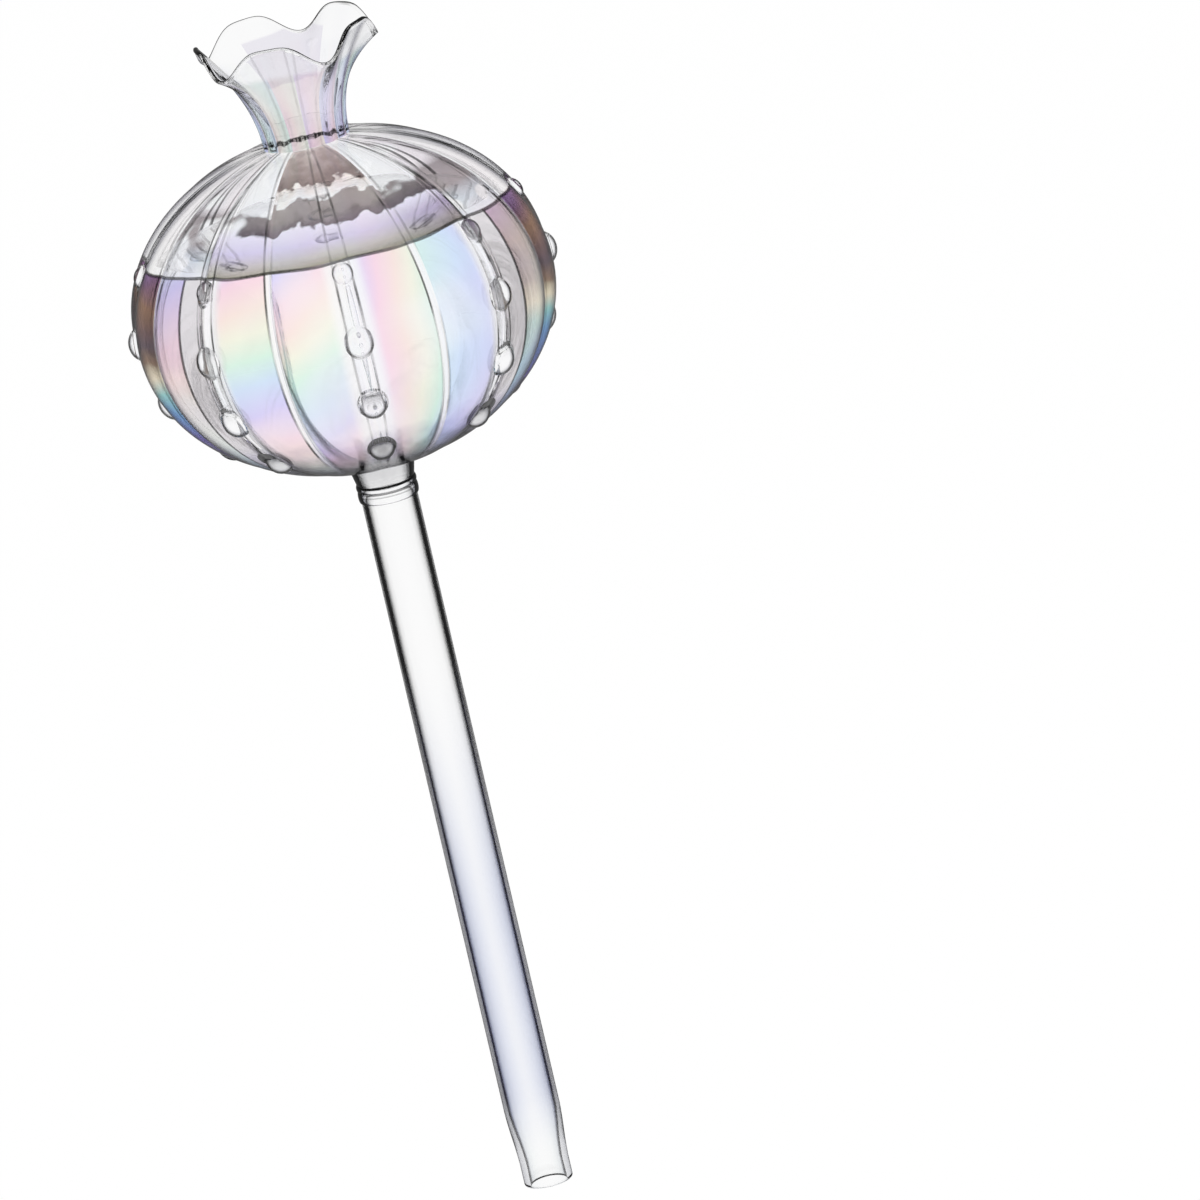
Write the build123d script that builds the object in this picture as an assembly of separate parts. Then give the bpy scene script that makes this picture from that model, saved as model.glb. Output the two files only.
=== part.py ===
from build123d import *

# Glass watering globe: a fluted, beaded bulb with a ruffled filling mouth above and a long drip stem below.
# Millimetres, +Z up, origin at the centre of the stem's open tip, front of the globe towards -Y.

import math
import os

# Driving dimensions of the drip stem
stem_length = 155.6
stem_radius = 6.05
stem_wall = 0.8
tip_radius = 5.3
tip_wall = 1.3
tip_land_length = 5.0
tip_taper_length = 11.5
tip_lip_radius = 0.5

# Driving dimensions of the seal ring between stem and nozzle
collar_height = 3.9
collar_radius = 6.25
collar_roll_depth = 0.3
collar_upper_roll_share = 0.36

# Driving dimensions of the bulb
nozzle_height = 4.2
nozzle_root_radius = 7.2
bulb_radius = 45.7
bulb_lower_depth = 36.3
bulb_upper_rise = 35.2
bulb_wall = 1.6
beaded_groove_depth = 1.6
plain_groove_depth = 0.8
rib_width = 4.2
rib_crown = 0.5
panel_count = 16
sections_per_half = 5

# Driving dimensions of the neck and the ruffled mouth
neck_radius = 9.4
throat_radius = 7.7
throat_length = 3.5
throat_step = 0.15
mouth_height = 22.6
rim_radius = 19.3
rim_wall = 1.1
flare_power = 2.2
inner_flare_power = 1.7
neck_flute_depth = 0.45
ruffle_count = 5
ruffle_lift = 2.75
ruffle_pinch = 0.25
ruffle_reach = 0.5
ruffle_power = 2.2
ruffle_turn = -67.5
points_per_flute = 5
mouth_ring_shares = (0.0, 0.1, 0.25, 0.42, 0.6, 0.8, 1.0)

# Driving dimensions of the beads, drops of glass laid on every other groove
bead_half_width = 3.2
bead_half_length = 3.8
bead_sink = 1.3
bead_first_angle = 24.4
bead_step_angle = 23.7
bead_size_shares = (0.72, 1.0, 1.0, 0.92)

# Clearance of a cut past the face that it opens
overrun = 2.0

# Levels along the axis, worked out from the sizes above
collar_base = stem_length
nozzle_base = collar_base + collar_height
bulb_base = nozzle_base + nozzle_height
equator = bulb_base + bulb_lower_depth
shoulder_top = equator + bulb_upper_rise

# Radii and angles that follow from them
stem_bore = stem_radius - stem_wall
tip_bore = tip_radius - tip_wall
throat_share = throat_length / (mouth_height - rim_wall / 2)
lower_angle = math.acos(nozzle_root_radius / bulb_radius)
upper_angle = math.acos(neck_radius / bulb_radius)
lower_axis = bulb_lower_depth / math.sin(lower_angle)
upper_axis = bulb_upper_rise / math.sin(upper_angle)
panel_angle = 2 * math.pi / panel_count
rib_angle = rib_width / bulb_radius
crest_angle = (panel_angle + rib_angle / 2) / 2
beaded_groove_count = panel_count // 2
front = -math.pi / 2
standing = (Align.CENTER, Align.CENTER, Align.MIN)


def polar(radius, angle, height):
    """Point at a radius and an angle about the axis."""
    return (radius * math.cos(angle), radius * math.sin(angle), height)


def fluted_outline(radius, share, height):
    """Closed outline of convex panels that meet in a plain crease or leave a low rib between them."""
    deep = radius - beaded_groove_depth * share
    crown = deep + rib_crown * share
    plain = radius - plain_groove_depth * share
    arcs = []
    for groove in range(beaded_groove_count):
        middle = front + 2 * groove * panel_angle
        first_edge = polar(deep, middle - rib_angle / 2, height)
        last_edge = polar(deep, middle + rib_angle / 2, height)
        crease = polar(plain, middle + panel_angle, height)
        next_edge = polar(deep, middle + 2 * panel_angle - rib_angle / 2, height)
        first_crest = polar(radius, middle + crest_angle, height)
        last_crest = polar(radius, middle + 2 * panel_angle - crest_angle, height)
        arcs.append(ThreePointArc(first_edge, polar(crown, middle, height), last_edge))
        arcs.append(ThreePointArc(last_edge, first_crest, crease))
        arcs.append(ThreePointArc(crease, last_crest, next_edge))
    return Wire(arcs)


def bulb_section(angle, wall):
    """Fluted outline of the bulb at an angle up its meridian, drawn in by a wall."""
    axis = upper_axis if angle > 0 else lower_axis
    share = math.cos(angle)
    height = equator + (axis - wall) * math.sin(angle)
    return fluted_outline((bulb_radius - wall) * share, share, height)


def bulb_sections(wall):
    """Outlines from the nozzle's root to the foot of the neck."""
    below = [-lower_angle * step / sections_per_half for step in range(sections_per_half, 0, -1)]
    above = [upper_angle * step / sections_per_half for step in range(sections_per_half + 1)]
    return [bulb_section(angle, wall) for angle in below + above]


def plain_ring(radius, height):
    """Round outline, cut into as many arcs as a fluted one."""
    return fluted_outline(radius, 0, height)


def bulb_body():
    """Bulb and nozzle as one filled solid."""
    sections = bulb_sections(0)
    body = Solid.make_loft(sections)
    nozzle = Solid.make_loft([plain_ring(collar_radius, nozzle_base), sections[0]], True)
    return body + nozzle


def bulb_cavity():
    """Hollow of the bulb, from the nozzle's bore up to the throat."""
    sections = bulb_sections(bulb_wall)
    chamber = Solid.make_loft(sections)
    funnel = Solid.make_loft([plain_ring(stem_bore, bulb_base), sections[0]], True)
    shoulder = Solid.make_loft([sections[-1], plain_ring(throat_radius, shoulder_top)], True)
    drain = Pos(0, 0, nozzle_base - overrun) * Cylinder(stem_bore, nozzle_height + overrun, align=standing)
    throat = Pos(0, 0, shoulder_top) * Cylinder(throat_radius, overrun, align=standing)
    return chamber + funnel + shoulder + drain + throat


def flare_climb(share):
    """Part of the way from the top of the throat to the rim, at a share of the mouth's height."""
    return max(0, share - throat_share) / (1 - throat_share)


def mouth_ring(share, radius, flute_depth, drop):
    """Closed curve round the mouth at a share of its height, ruffled more towards the rim."""
    count = panel_count * points_per_flute
    ruffle = flare_climb(share) ** ruffle_power
    fluting = flute_depth * (1 - share) / 2
    points = []
    for step in range(count):
        angle = front + 2 * math.pi * step / count
        turn = ruffle_count * (angle - math.radians(ruffle_turn))
        wave = math.cos(turn) + ruffle_pinch * math.cos(2 * turn)
        valley = math.cos(panel_count * (angle - front))
        reach = radius - fluting * (1 + valley) + ruffle_reach * ruffle * wave
        height = shoulder_top + (mouth_height - drop) * share - ruffle_lift * ruffle * wave
        points.append(polar(reach, angle, height))
    return Wire([Edge.make_spline(points, periodic=True)])


def outer_ring(share):
    """Curve on the outside of the neck and mouth, fluted at the neck."""
    radius = neck_radius + (rim_radius - neck_radius) * share**flare_power
    return mouth_ring(share, radius, neck_flute_depth, rim_wall / 2)


def inner_ring(share):
    """Curve on the inside of the mouth, which starts to flare a fine step out from the throat."""
    foot_radius = throat_radius + throat_step
    radius = foot_radius + (rim_radius - rim_wall - foot_radius) * flare_climb(share) ** inner_flare_power
    return mouth_ring(share, radius, 0, rim_wall / 2)


def ruffled_mouth():
    """Neck and flared mouth, one wall with a rounded lip and a straight round throat."""
    inner_shares = [throat_share + (1 - throat_share) * share for share in mouth_ring_shares]
    outer = [outer_ring(share) for share in mouth_ring_shares]
    inner = [inner_ring(share) for share in inner_shares]
    lip = mouth_ring(1, rim_radius - rim_wall / 2, 0, 0)
    faces = Shell.make_loft(outer).faces() + Shell.make_loft(inner).faces()
    faces += Shell.make_loft([outer[-1], lip, inner[-1]]).faces()
    faces += [Face(outer[0]), Face(inner[0])]
    throat = Cylinder(throat_radius, throat_length + 2 * overrun, align=standing)
    return Solid(Shell(faces)) - Pos(0, 0, shoulder_top - overrun) * throat


def bead(level):
    """Drop of glass on the front groove at one level, resting on the bulb's outside."""
    angle = math.radians(bead_first_angle - level * bead_step_angle)
    axis = upper_axis if angle > 0 else lower_axis
    height = equator + axis * math.sin(angle)
    crown = bulb_radius - beaded_groove_depth + rib_crown
    size = bead_size_shares[level]
    out = Vector(0, -math.cos(angle) / bulb_radius, math.sin(angle) / axis).normalized()
    seat = Vector(0, -crown * math.cos(angle), height) - out * bead_sink * size
    curve = EllipticalCenterArc((0, 0), bead_half_width * size, bead_half_length * size, -90, arc_size=180)
    section = make_face(curve + Line(curve @ 1, curve @ 0))
    return Plane(seat, x_dir=(1, 0, 0), z_dir=out) * revolve(section, Axis.Y)


def bead_row(body):
    """Beads of the front groove, cut to the bulb that they sit on."""
    return [bead(level) - body for level in range(len(bead_size_shares))]


def joint_collar():
    """Seal ring where the stem is fused on, rolled in two fine beads."""
    low = collar_base
    high = nozzle_base
    waist = high - collar_height * collar_upper_roll_share
    proud = collar_radius + collar_roll_depth
    lower_roll = ThreePointArc((collar_radius, low), (proud, (low + waist) / 2), (collar_radius, waist))
    upper_roll = ThreePointArc((collar_radius, waist), (proud, (waist + high) / 2), (collar_radius, high))
    inside = Polyline((collar_radius, high), (stem_bore, high), (stem_bore, low), (collar_radius, low))
    section = make_face(Plane.XZ * (lower_roll + upper_roll + inside))
    return revolve(section, Axis.Z)


def stem_tube():
    """Long drip tube, drawn in to a straight open tip with a fire-rounded end."""
    shoulder = tip_land_length + tip_taper_length
    outline = Polyline(
        (tip_bore, 0),
        (tip_radius, 0),
        (tip_radius, tip_land_length),
        (stem_radius, shoulder),
        (stem_radius, stem_length),
        (stem_bore, stem_length),
        (stem_bore, shoulder),
        (tip_bore, tip_land_length),
        close=True,
    )
    tube = revolve(make_face(Plane.XZ * outline), Axis.Z)
    lip = tube.edges().filter_by(GeomType.CIRCLE).group_by(Axis.Z)[0].sort_by(SortBy.RADIUS)[-1]
    return fillet(lip, tip_lip_radius)


def main():
    """Build every piece and write it to its own file."""
    os.makedirs("parts", exist_ok=True)
    body = bulb_body()
    row = bead_row(body)
    export_step(body - bulb_cavity(), "parts/bulb_shell.step")
    export_step(ruffled_mouth(), "parts/ruffled_mouth.step")
    export_step(joint_collar(), "parts/joint_collar.step")
    export_step(stem_tube(), "parts/stem_tube.step")
    for place in range(beaded_groove_count):
        turn = Rot(0, 0, 360 * place / beaded_groove_count)
        beads = Compound([turn * drop for drop in row])
        export_step(beads, f"parts/bead_row_{place + 1}.step")


main()
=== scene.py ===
"""Looks of the glass watering globe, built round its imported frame."""

import logging
import math
from dataclasses import dataclass
from enum import Enum

import bmesh
import bpy
from mathutils import Matrix, Vector


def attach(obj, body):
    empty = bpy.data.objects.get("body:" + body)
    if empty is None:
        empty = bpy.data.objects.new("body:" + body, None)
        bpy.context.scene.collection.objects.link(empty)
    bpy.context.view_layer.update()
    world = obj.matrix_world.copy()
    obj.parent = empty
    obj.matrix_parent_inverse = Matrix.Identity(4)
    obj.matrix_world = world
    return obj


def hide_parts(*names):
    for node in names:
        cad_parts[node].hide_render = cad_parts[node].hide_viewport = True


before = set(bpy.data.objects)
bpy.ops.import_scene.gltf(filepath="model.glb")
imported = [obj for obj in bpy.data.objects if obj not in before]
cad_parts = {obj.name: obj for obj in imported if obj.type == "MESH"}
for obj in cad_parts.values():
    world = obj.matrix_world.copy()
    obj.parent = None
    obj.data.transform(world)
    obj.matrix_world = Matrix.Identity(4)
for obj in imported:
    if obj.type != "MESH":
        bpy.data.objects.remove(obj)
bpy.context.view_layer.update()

MM = 0.001
FULL_TURN = 2 * math.pi
FRONT = -math.pi / 2
log = logging.getLogger("watering_globe")

Colour = tuple[float, float, float]
Tones = tuple[tuple[float, Colour], ...]
Span = tuple[float, float]
Profile = list[tuple[float, float]]

WHITE: Colour = (1.0, 1.0, 1.0)
BLACK: Colour = (0.0, 0.0, 0.0)


class Skin(Enum):
    """Sides of a glass wall, in the order of a piece's material slots."""

    OUTSIDE = 0
    INSIDE = 1
    SEAM = 2
    RIM = 3


@dataclass(frozen=True)
class Joins:
    """Sizes in millimetres that the pieces share, so that they meet."""

    stem_length: float = 155.6
    ring_height: float = 3.9
    nozzle_height: float = 4.2
    lower_depth: float = 36.3
    upper_rise: float = 35.2
    water_rise: float = 17.3
    bulb_radius: float = 45.7
    rib_width: float = 4.2
    panels: int = 16
    bore: float = 5.25
    ring_radius: float = 6.25
    neck_radius: float = 9.4
    throat_radius: float = 7.7
    seam: float = 0.02

    @property
    def nozzle_base(self) -> float:
        """Height of the nozzle's lower end, on the seal ring."""
        return self.stem_length + self.ring_height

    @property
    def bulb_base(self) -> float:
        """Height at which the bulb stands on its nozzle."""
        return self.nozzle_base + self.nozzle_height

    @property
    def equator(self) -> float:
        """Height at which the bulb is widest."""
        return self.bulb_base + self.lower_depth

    @property
    def shoulder_top(self) -> float:
        """Height at which the bulb ends and the neck begins."""
        return self.equator + self.upper_rise

    @property
    def water_level(self) -> float:
        """Height of the water's surface."""
        return self.equator + self.water_rise

    @property
    def rib_edge(self) -> float:
        """Angle from the middle of a rib to its edge."""
        return self.rib_width / self.bulb_radius / 2


JOINS = Joins()


# Shader building


class Signal:
    """What a socket puts out. Plain sums with it add Math nodes to its sheet."""

    def __init__(self, sheet: "ShaderSheet", socket: bpy.types.NodeSocket) -> None:
        """Keep the sheet and the socket."""
        self.sheet = sheet
        self.socket = socket

    def __add__(self, other: "Signal | float") -> "Signal":
        """Add to it."""
        return self.sheet.math("ADD", self, other)

    def __sub__(self, other: "Signal | float") -> "Signal":
        """Take from it."""
        return self.sheet.math("SUBTRACT", self, other)

    def __rsub__(self, other: float) -> "Signal":
        """Take it from a number."""
        return self.sheet.math("SUBTRACT", other, self)

    def __mul__(self, other: "Signal | float") -> "Signal":
        """Multiply it."""
        return self.sheet.math("MULTIPLY", self, other)

    def __truediv__(self, other: "Signal | float") -> "Signal":
        """Divide it."""
        return self.sheet.math("DIVIDE", self, other)

    def __gt__(self, other: "Signal | float") -> "Signal":
        """Put out one where it is larger, else zero."""
        return self.sheet.math("GREATER_THAN", self, other)

    def __lt__(self, other: "Signal | float") -> "Signal":
        """Put out one where it is smaller, else zero."""
        return self.sheet.math("LESS_THAN", self, other)

    def __abs__(self) -> "Signal":
        """Leave out its sign."""
        return self.sheet.math("ABSOLUTE", self)


Source = Signal | float | tuple[float, ...]


class ShaderSheet:
    """A node tree with short calls for the nodes that the finishes use."""

    def __init__(self, tree: bpy.types.NodeTree) -> None:
        """Take the node tree that the calls fill."""
        self.tree = tree

    def node(self, kind: str) -> bpy.types.Node:
        """Add one node of a kind."""
        return self.tree.nodes.new(kind)

    def feed(self, source: Source, socket: bpy.types.NodeSocket) -> None:
        """Link a signal to a socket, or set the socket to a plain value.

        Args:
            source: The signal or the value.
            socket: The socket that takes it.
        """
        if isinstance(source, Signal):
            self.tree.links.new(source.socket, socket)
        else:
            socket.default_value = source

    def show(self, shader: bpy.types.NodeSocket, target: str = "ShaderNodeOutputMaterial") -> None:
        """Link a shader to an output node of a kind."""
        self.tree.links.new(shader, self.node(target).inputs["Surface"])

    def math(self, operation: str, *terms: Source) -> Signal:
        """Add a Math node.

        Args:
            operation: What the node does.
            terms: What its inputs take, in order.

        Returns:
            What the node puts out.
        """
        node = self.node("ShaderNodeMath")
        node.operation = operation
        for term, socket in zip(terms, node.inputs):
            self.feed(term, socket)
        return Signal(self, node.outputs["Value"])

    def vector(self, operation: str, *terms: Source) -> Signal:
        """Add a Vector Math node.

        Args:
            operation: What the node does.
            terms: What its inputs take, in order.

        Returns:
            The vector or the number that the node puts out.
        """
        node = self.node("ShaderNodeVectorMath")
        node.operation = operation
        for term, socket in zip(terms, node.inputs):
            self.feed(term, socket)
        plain = operation in ("DOT_PRODUCT", "LENGTH")
        return Signal(self, node.outputs["Value" if plain else "Vector"])

    def split(self, vector: Signal) -> tuple[Signal, Signal, Signal]:
        """Take a vector apart into its three parts.

        Args:
            vector: The vector.

        Returns:
            Its parts along X, Y and Z.
        """
        node = self.node("ShaderNodeSeparateXYZ")
        self.feed(vector, node.inputs[0])
        across, away, up = (Signal(self, socket) for socket in node.outputs)
        return across, away, up

    def level_vector(self, across: Signal, away: Signal) -> Signal:
        """Put a level vector together.

        Args:
            across: Its part along X.
            away: Its part along Y.

        Returns:
            The vector, whose part along Z is zero.
        """
        node = self.node("ShaderNodeCombineXYZ")
        self.feed(across, node.inputs[0])
        self.feed(away, node.inputs[1])
        return Signal(self, node.outputs[0])

    def span(self, value: Signal, low: float, high: float, start: float = 0.0, end: float = 1.0) -> Signal:
        """Map a value smoothly from one range to another one.

        Args:
            value: The value.
            low: Where its range starts.
            high: Where its range ends.
            start: What is put out at or below the range's start.
            end: What is put out at or above its end.

        Returns:
            The mapped value.
        """
        node = self.node("ShaderNodeMapRange")
        node.interpolation_type = "SMOOTHSTEP"
        limits = {"Value": value, "From Min": low, "From Max": high, "To Min": start, "To Max": end}
        for name, term in limits.items():
            self.feed(term, node.inputs[name])
        return Signal(self, node.outputs["Result"])

    def blend(self, share: Source, first: Source, second: Source, how: str = "MIX") -> Signal:
        """Mix two colours.

        Args:
            share: How much of the second one shows.
            first: The colour below.
            second: The colour on top.
            how: The way in which they mix.

        Returns:
            The mixed colour.
        """
        node = self.node("ShaderNodeMix")
        node.data_type = "RGBA"
        node.blend_type = how
        colours = [socket for socket in node.inputs if socket.type == "RGBA"]
        self.feed(share, node.inputs[0])
        self.feed(first, colours[0])
        self.feed(second, colours[1])
        return Signal(self, next(socket for socket in node.outputs if socket.type == "RGBA"))

    def ramp(self, value: Signal, stops: Tones, interpolation: str = "LINEAR") -> Signal:
        """Turn a value into a colour.

        Args:
            value: The value.
            stops: The colours and their places.
            interpolation: How one stop runs on into the next one.

        Returns:
            The colour.
        """
        node = self.node("ShaderNodeValToRGB")
        band = node.color_ramp
        band.interpolation = interpolation
        band.elements.remove(band.elements[0])
        for index, (place, colour) in enumerate(stops):
            stop = band.elements[0] if index == 0 else band.elements.new(place)
            stop.position = place
            stop.color = rgba(colour)
        self.feed(value, node.inputs[0])
        return Signal(self, node.outputs["Color"])

    def noise(self, place: Signal, scale: float, detail: float) -> Signal:
        """Add a noise pattern.

        Args:
            place: Coordinates that it follows.
            scale: How fine it is.
            detail: How many finer layers it has.

        Returns:
            The pattern's value.
        """
        node = self.node("ShaderNodeTexNoise")
        self.feed(place, node.inputs["Vector"])
        self.feed(scale, node.inputs["Scale"])
        self.feed(detail, node.inputs["Detail"])
        return Signal(self, node.outputs["Fac"])

    def group(self, tree: bpy.types.NodeTree, given: dict[str, Source]) -> dict[str, Signal]:
        """Add a node group with values of its own.

        Args:
            tree: The group.
            given: What each of its inputs takes.

        Returns:
            The group's outputs by name.
        """
        node = self.node("ShaderNodeGroup")
        node.node_tree = tree
        for name, source in given.items():
            self.feed(source, node.inputs[name])
        return {socket.name: Signal(self, socket) for socket in node.outputs}

    def coordinates(self, kind: str = "Object") -> Signal:
        """Return the texture coordinates of a kind."""
        return Signal(self, self.node("ShaderNodeTexCoord").outputs[kind])

    def behind(self) -> Signal:
        """Return one on faces that are seen from behind, else zero."""
        return Signal(self, self.node("ShaderNodeNewGeometry").outputs["Backfacing"])

    def rays(self) -> tuple[Signal, Signal, Signal]:
        """Tell the light's paths apart.

        Returns:
            One each for what the camera sees, for what is mirrored and for what shines through.
        """
        path = self.node("ShaderNodeLightPath").outputs
        kinds = ("Camera", "Glossy", "Transmission")
        seen, mirrored, through = (Signal(self, path[f"Is {kind} Ray"]) for kind in kinds)
        return seen, mirrored, through


def rgba(colour: Colour) -> tuple[float, float, float, float]:
    """Add full opacity to a colour."""
    return (*colour, 1.0)


def grey(level: float) -> Colour:
    """Return a neutral colour."""
    return (level, level, level)


def tint(red: int, green: int, blue: int) -> Colour:
    """Return the base colour of clear glass that shows a display tone.

    A display's gamma counts twice, because glass shows the square root of its colour.

    Args:
        red: The tone's red, up to 255.
        green: Its green.
        blue: Its blue.

    Returns:
        The base colour.
    """
    full, gamma = 255, 2.2
    return tuple((part / full) ** (2 * gamma) for part in (red, green, blue))


# Film on the bulb, and painted shade and reflections on it

PASTEL_FILM: Tones = (
    (0.0, tint(255, 222, 236)),
    (0.16, tint(255, 236, 228)),
    (0.3, tint(250, 250, 232)),
    (0.46, tint(222, 250, 234)),
    (0.64, tint(214, 232, 255)),
    (0.82, tint(220, 212, 255)),
    (1.0, tint(255, 222, 236)),
)
# Deeper film colours for panels turned aside, partly film colour and partly painted shade in their browns
# and greys.
DEEP_FILM_AND_SHADE: Tones = (
    (0.0, tint(211, 211, 214)),
    (0.1, tint(180, 176, 202)),
    (0.19, tint(127, 115, 187)),
    (0.31, tint(118, 158, 205)),
    (0.4, tint(150, 200, 196)),
    (0.49, tint(228, 216, 190)),
    (0.57, tint(141, 118, 101)),
    (0.64, tint(99, 88, 96)),
    (0.72, tint(121, 99, 97)),
    (0.81, tint(145, 115, 96)),
    (0.88, tint(125, 96, 118)),
    (0.96, tint(141, 112, 161)),
    (1.0, tint(151, 143, 123)),
)
# Painted reflection and shade of the water's surface, seen through the wall just over the water.
SURFACE_SHADE_AND_REFLECTION: Tones = (
    (0.0, tint(172, 170, 156)),
    (0.08, tint(205, 202, 200)),
    (0.2, tint(222, 216, 240)),
    (0.33, tint(240, 236, 250)),
    (0.42, tint(252, 252, 253)),
    (1.0, WHITE),
)
# Painted shade: the shoulder's dark patches.
SHADE_MARKS: Tones = (
    (0.0, WHITE),
    (0.35, WHITE),
    (0.37, tint(108, 100, 102)),
    (0.52, tint(158, 150, 150)),
    (0.54, WHITE),
    (1.0, WHITE),
)
# Painted shade: grey patches on the panels further aside, over the water.
OUTER_PANEL_SHADE: Tones = (
    (0.0, tint(240, 240, 244)),
    (0.15, tint(215, 222, 228)),
    (0.3, tint(182, 174, 174)),
    (0.5, tint(168, 160, 162)),
    (0.58, tint(245, 240, 243)),
    (1.0, tint(255, 252, 253)),
)
# Painted shade on the two front panels over the water: dark patches and a pale band, where the neck's base
# shows through.
NECK_SHADE: Tones = (
    (0.0, WHITE),
    (0.35, WHITE),
    (0.37, tint(132, 124, 124)),
    (0.46, tint(165, 158, 156)),
    (0.58, tint(178, 170, 168)),
    (0.6, WHITE),
    (0.67, tint(255, 246, 240)),
    (0.69, tint(140, 124, 120)),
    (0.78, tint(158, 142, 138)),
    (0.88, tint(190, 176, 172)),
    (0.95, tint(228, 218, 214)),
    (1.0, tint(248, 242, 240)),
)
# Painted shade, darker towards the bulb's foot, with a dark band.
FOOT_SHADE: Tones = (
    (0.0, tint(235, 235, 235)),
    (0.3, tint(205, 205, 208)),
    (0.42, tint(96, 96, 98)),
    (0.48, tint(140, 140, 146)),
    (0.6, tint(186, 184, 194)),
    (0.78, tint(228, 226, 238)),
    (1.0, WHITE),
)
# Painted dark edge of the nozzle, by facing.
NOZZLE_EDGE_SHADE: Tones = (
    (0.0, WHITE),
    (0.25, grey(0.9)),
    (0.4, grey(0.08)),
    (0.5, BLACK),
    (1.0, BLACK),
)


class NodeGroup:
    """Node group with named inputs and outputs, built on its first use."""

    name: str
    inputs: dict[str, str]
    outputs: dict[str, str]

    @classmethod
    def tree(cls) -> bpy.types.NodeTree:
        """Return the group."""
        return bpy.data.node_groups.get(cls.name) or cls.build()

    @classmethod
    def build(cls) -> bpy.types.NodeTree:
        """Build the group.

        Returns:
            The group, filled and linked.
        """
        tree = bpy.data.node_groups.new(cls.name, "ShaderNodeTree")
        for way, sockets in (("INPUT", cls.inputs), ("OUTPUT", cls.outputs)):
            for name, kind in sockets.items():
                tree.interface.new_socket(name, in_out=way, socket_type=f"NodeSocket{kind}")
        sheet = ShaderSheet(tree)
        sockets = sheet.node("NodeGroupInput").outputs
        given = {name: Signal(sheet, sockets[name]) for name in cls.inputs}
        shown = sheet.node("NodeGroupOutput").inputs
        for name, signal in cls.fill(sheet, given).items():
            sheet.feed(signal, shown[name])
        return tree

    @classmethod
    def fill(cls, sheet: ShaderSheet, given: dict[str, Signal]) -> dict[str, Signal]:
        """Add the group's nodes, which each group does in its own way."""
        raise NotImplementedError


class PanelGroup(NodeGroup):
    """Where a point lies on the bulb's panels: their heading, number, grooves and ribs, and painted shade
    lines along them.
    """

    name = "panel_sense"
    inputs = {"Place": "Vector", "Rib Edge": "Float", "Line Width": "Float"}
    outputs = {"Heading": "Vector", "Number": "Float", "Across": "Float", "Body": "Float", "Line": "Float"}
    crease = 0.0008
    margin = 0.004
    line_shade_noise_scale = 75.0
    line_shade_noise_detail = 1.0
    line_shade_noise_span = (0.35, 0.65)
    faintest = 0.35
    core_share = 2.0

    @classmethod
    def fill(cls, sheet: ShaderSheet, given: dict[str, Signal]) -> dict[str, Signal]:
        """Add the group's nodes.

        Args:
            sheet: The group's node sheet.
            given: Its inputs.

        Returns:
            The panel's heading and number, the place across it, its body without the margin beside the
            ribs, and the painted shade lines along its creases and rib edges.
        """
        place = given["Place"]
        panel = FULL_TURN / JOINS.panels
        sector = 2 * panel
        across, away, _ = sheet.split(place)
        turn = sheet.math("ARCTAN2", away, across) - FRONT
        radius = sheet.math("SQRT", across * across + away * away)
        share = turn / panel
        number = sheet.math("FLOOR", share)
        middle = (number + 0.5) * panel + FRONT
        heading = sheet.level_vector(sheet.math("COSINE", middle), sheet.math("SINE", middle))
        from_middle = abs(sheet.math("FRACT", turn / sector + 0.5) - 0.5) * sector
        from_rib = from_middle - given["Rib Edge"]
        rib_gap = abs(from_rib) * radius
        crease_gap = (sector / 2 - from_middle) * radius
        # Noise that makes the painted shade lines uneven.
        line_shade_noise = sheet.noise(place, cls.line_shade_noise_scale, cls.line_shade_noise_detail)
        uneven = sheet.span(line_shade_noise, *cls.line_shade_noise_span, cls.faintest)
        one_side = sheet.math("FRACT", share * 0.5) > 0.5
        # Painted shade lines along the creases and the rib edges.
        crease = cls.stroke(sheet, abs(crease_gap - cls.crease), given["Line Width"])
        crease = crease * abs(one_side - uneven)
        rib = cls.stroke(sheet, rib_gap, given["Line Width"]) * uneven
        body = sheet.span(rib_gap, 0.0, cls.margin) * (crease_gap > cls.crease) * (from_rib > 0.0)
        return {
            "Heading": heading,
            "Number": number,
            "Across": sheet.math("FRACT", share) - 0.5,
            "Body": body,
            "Line": sheet.math("MAXIMUM", crease, rib),
        }

    @classmethod
    def stroke(cls, sheet: ShaderSheet, gap: Signal, width: Signal) -> Signal:
        """Turn the distance from a painted shade line into its darkness.

        Args:
            sheet: The group's node sheet.
            gap: The distance.
            width: How far the line reaches to each side.

        Returns:
            The darkness, full in the line's core and zero past its width.
        """
        darkness = (1.0 - gap / width) * cls.core_share
        return sheet.math("MINIMUM", sheet.math("MAXIMUM", darkness, 0.0), 1.0)


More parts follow.
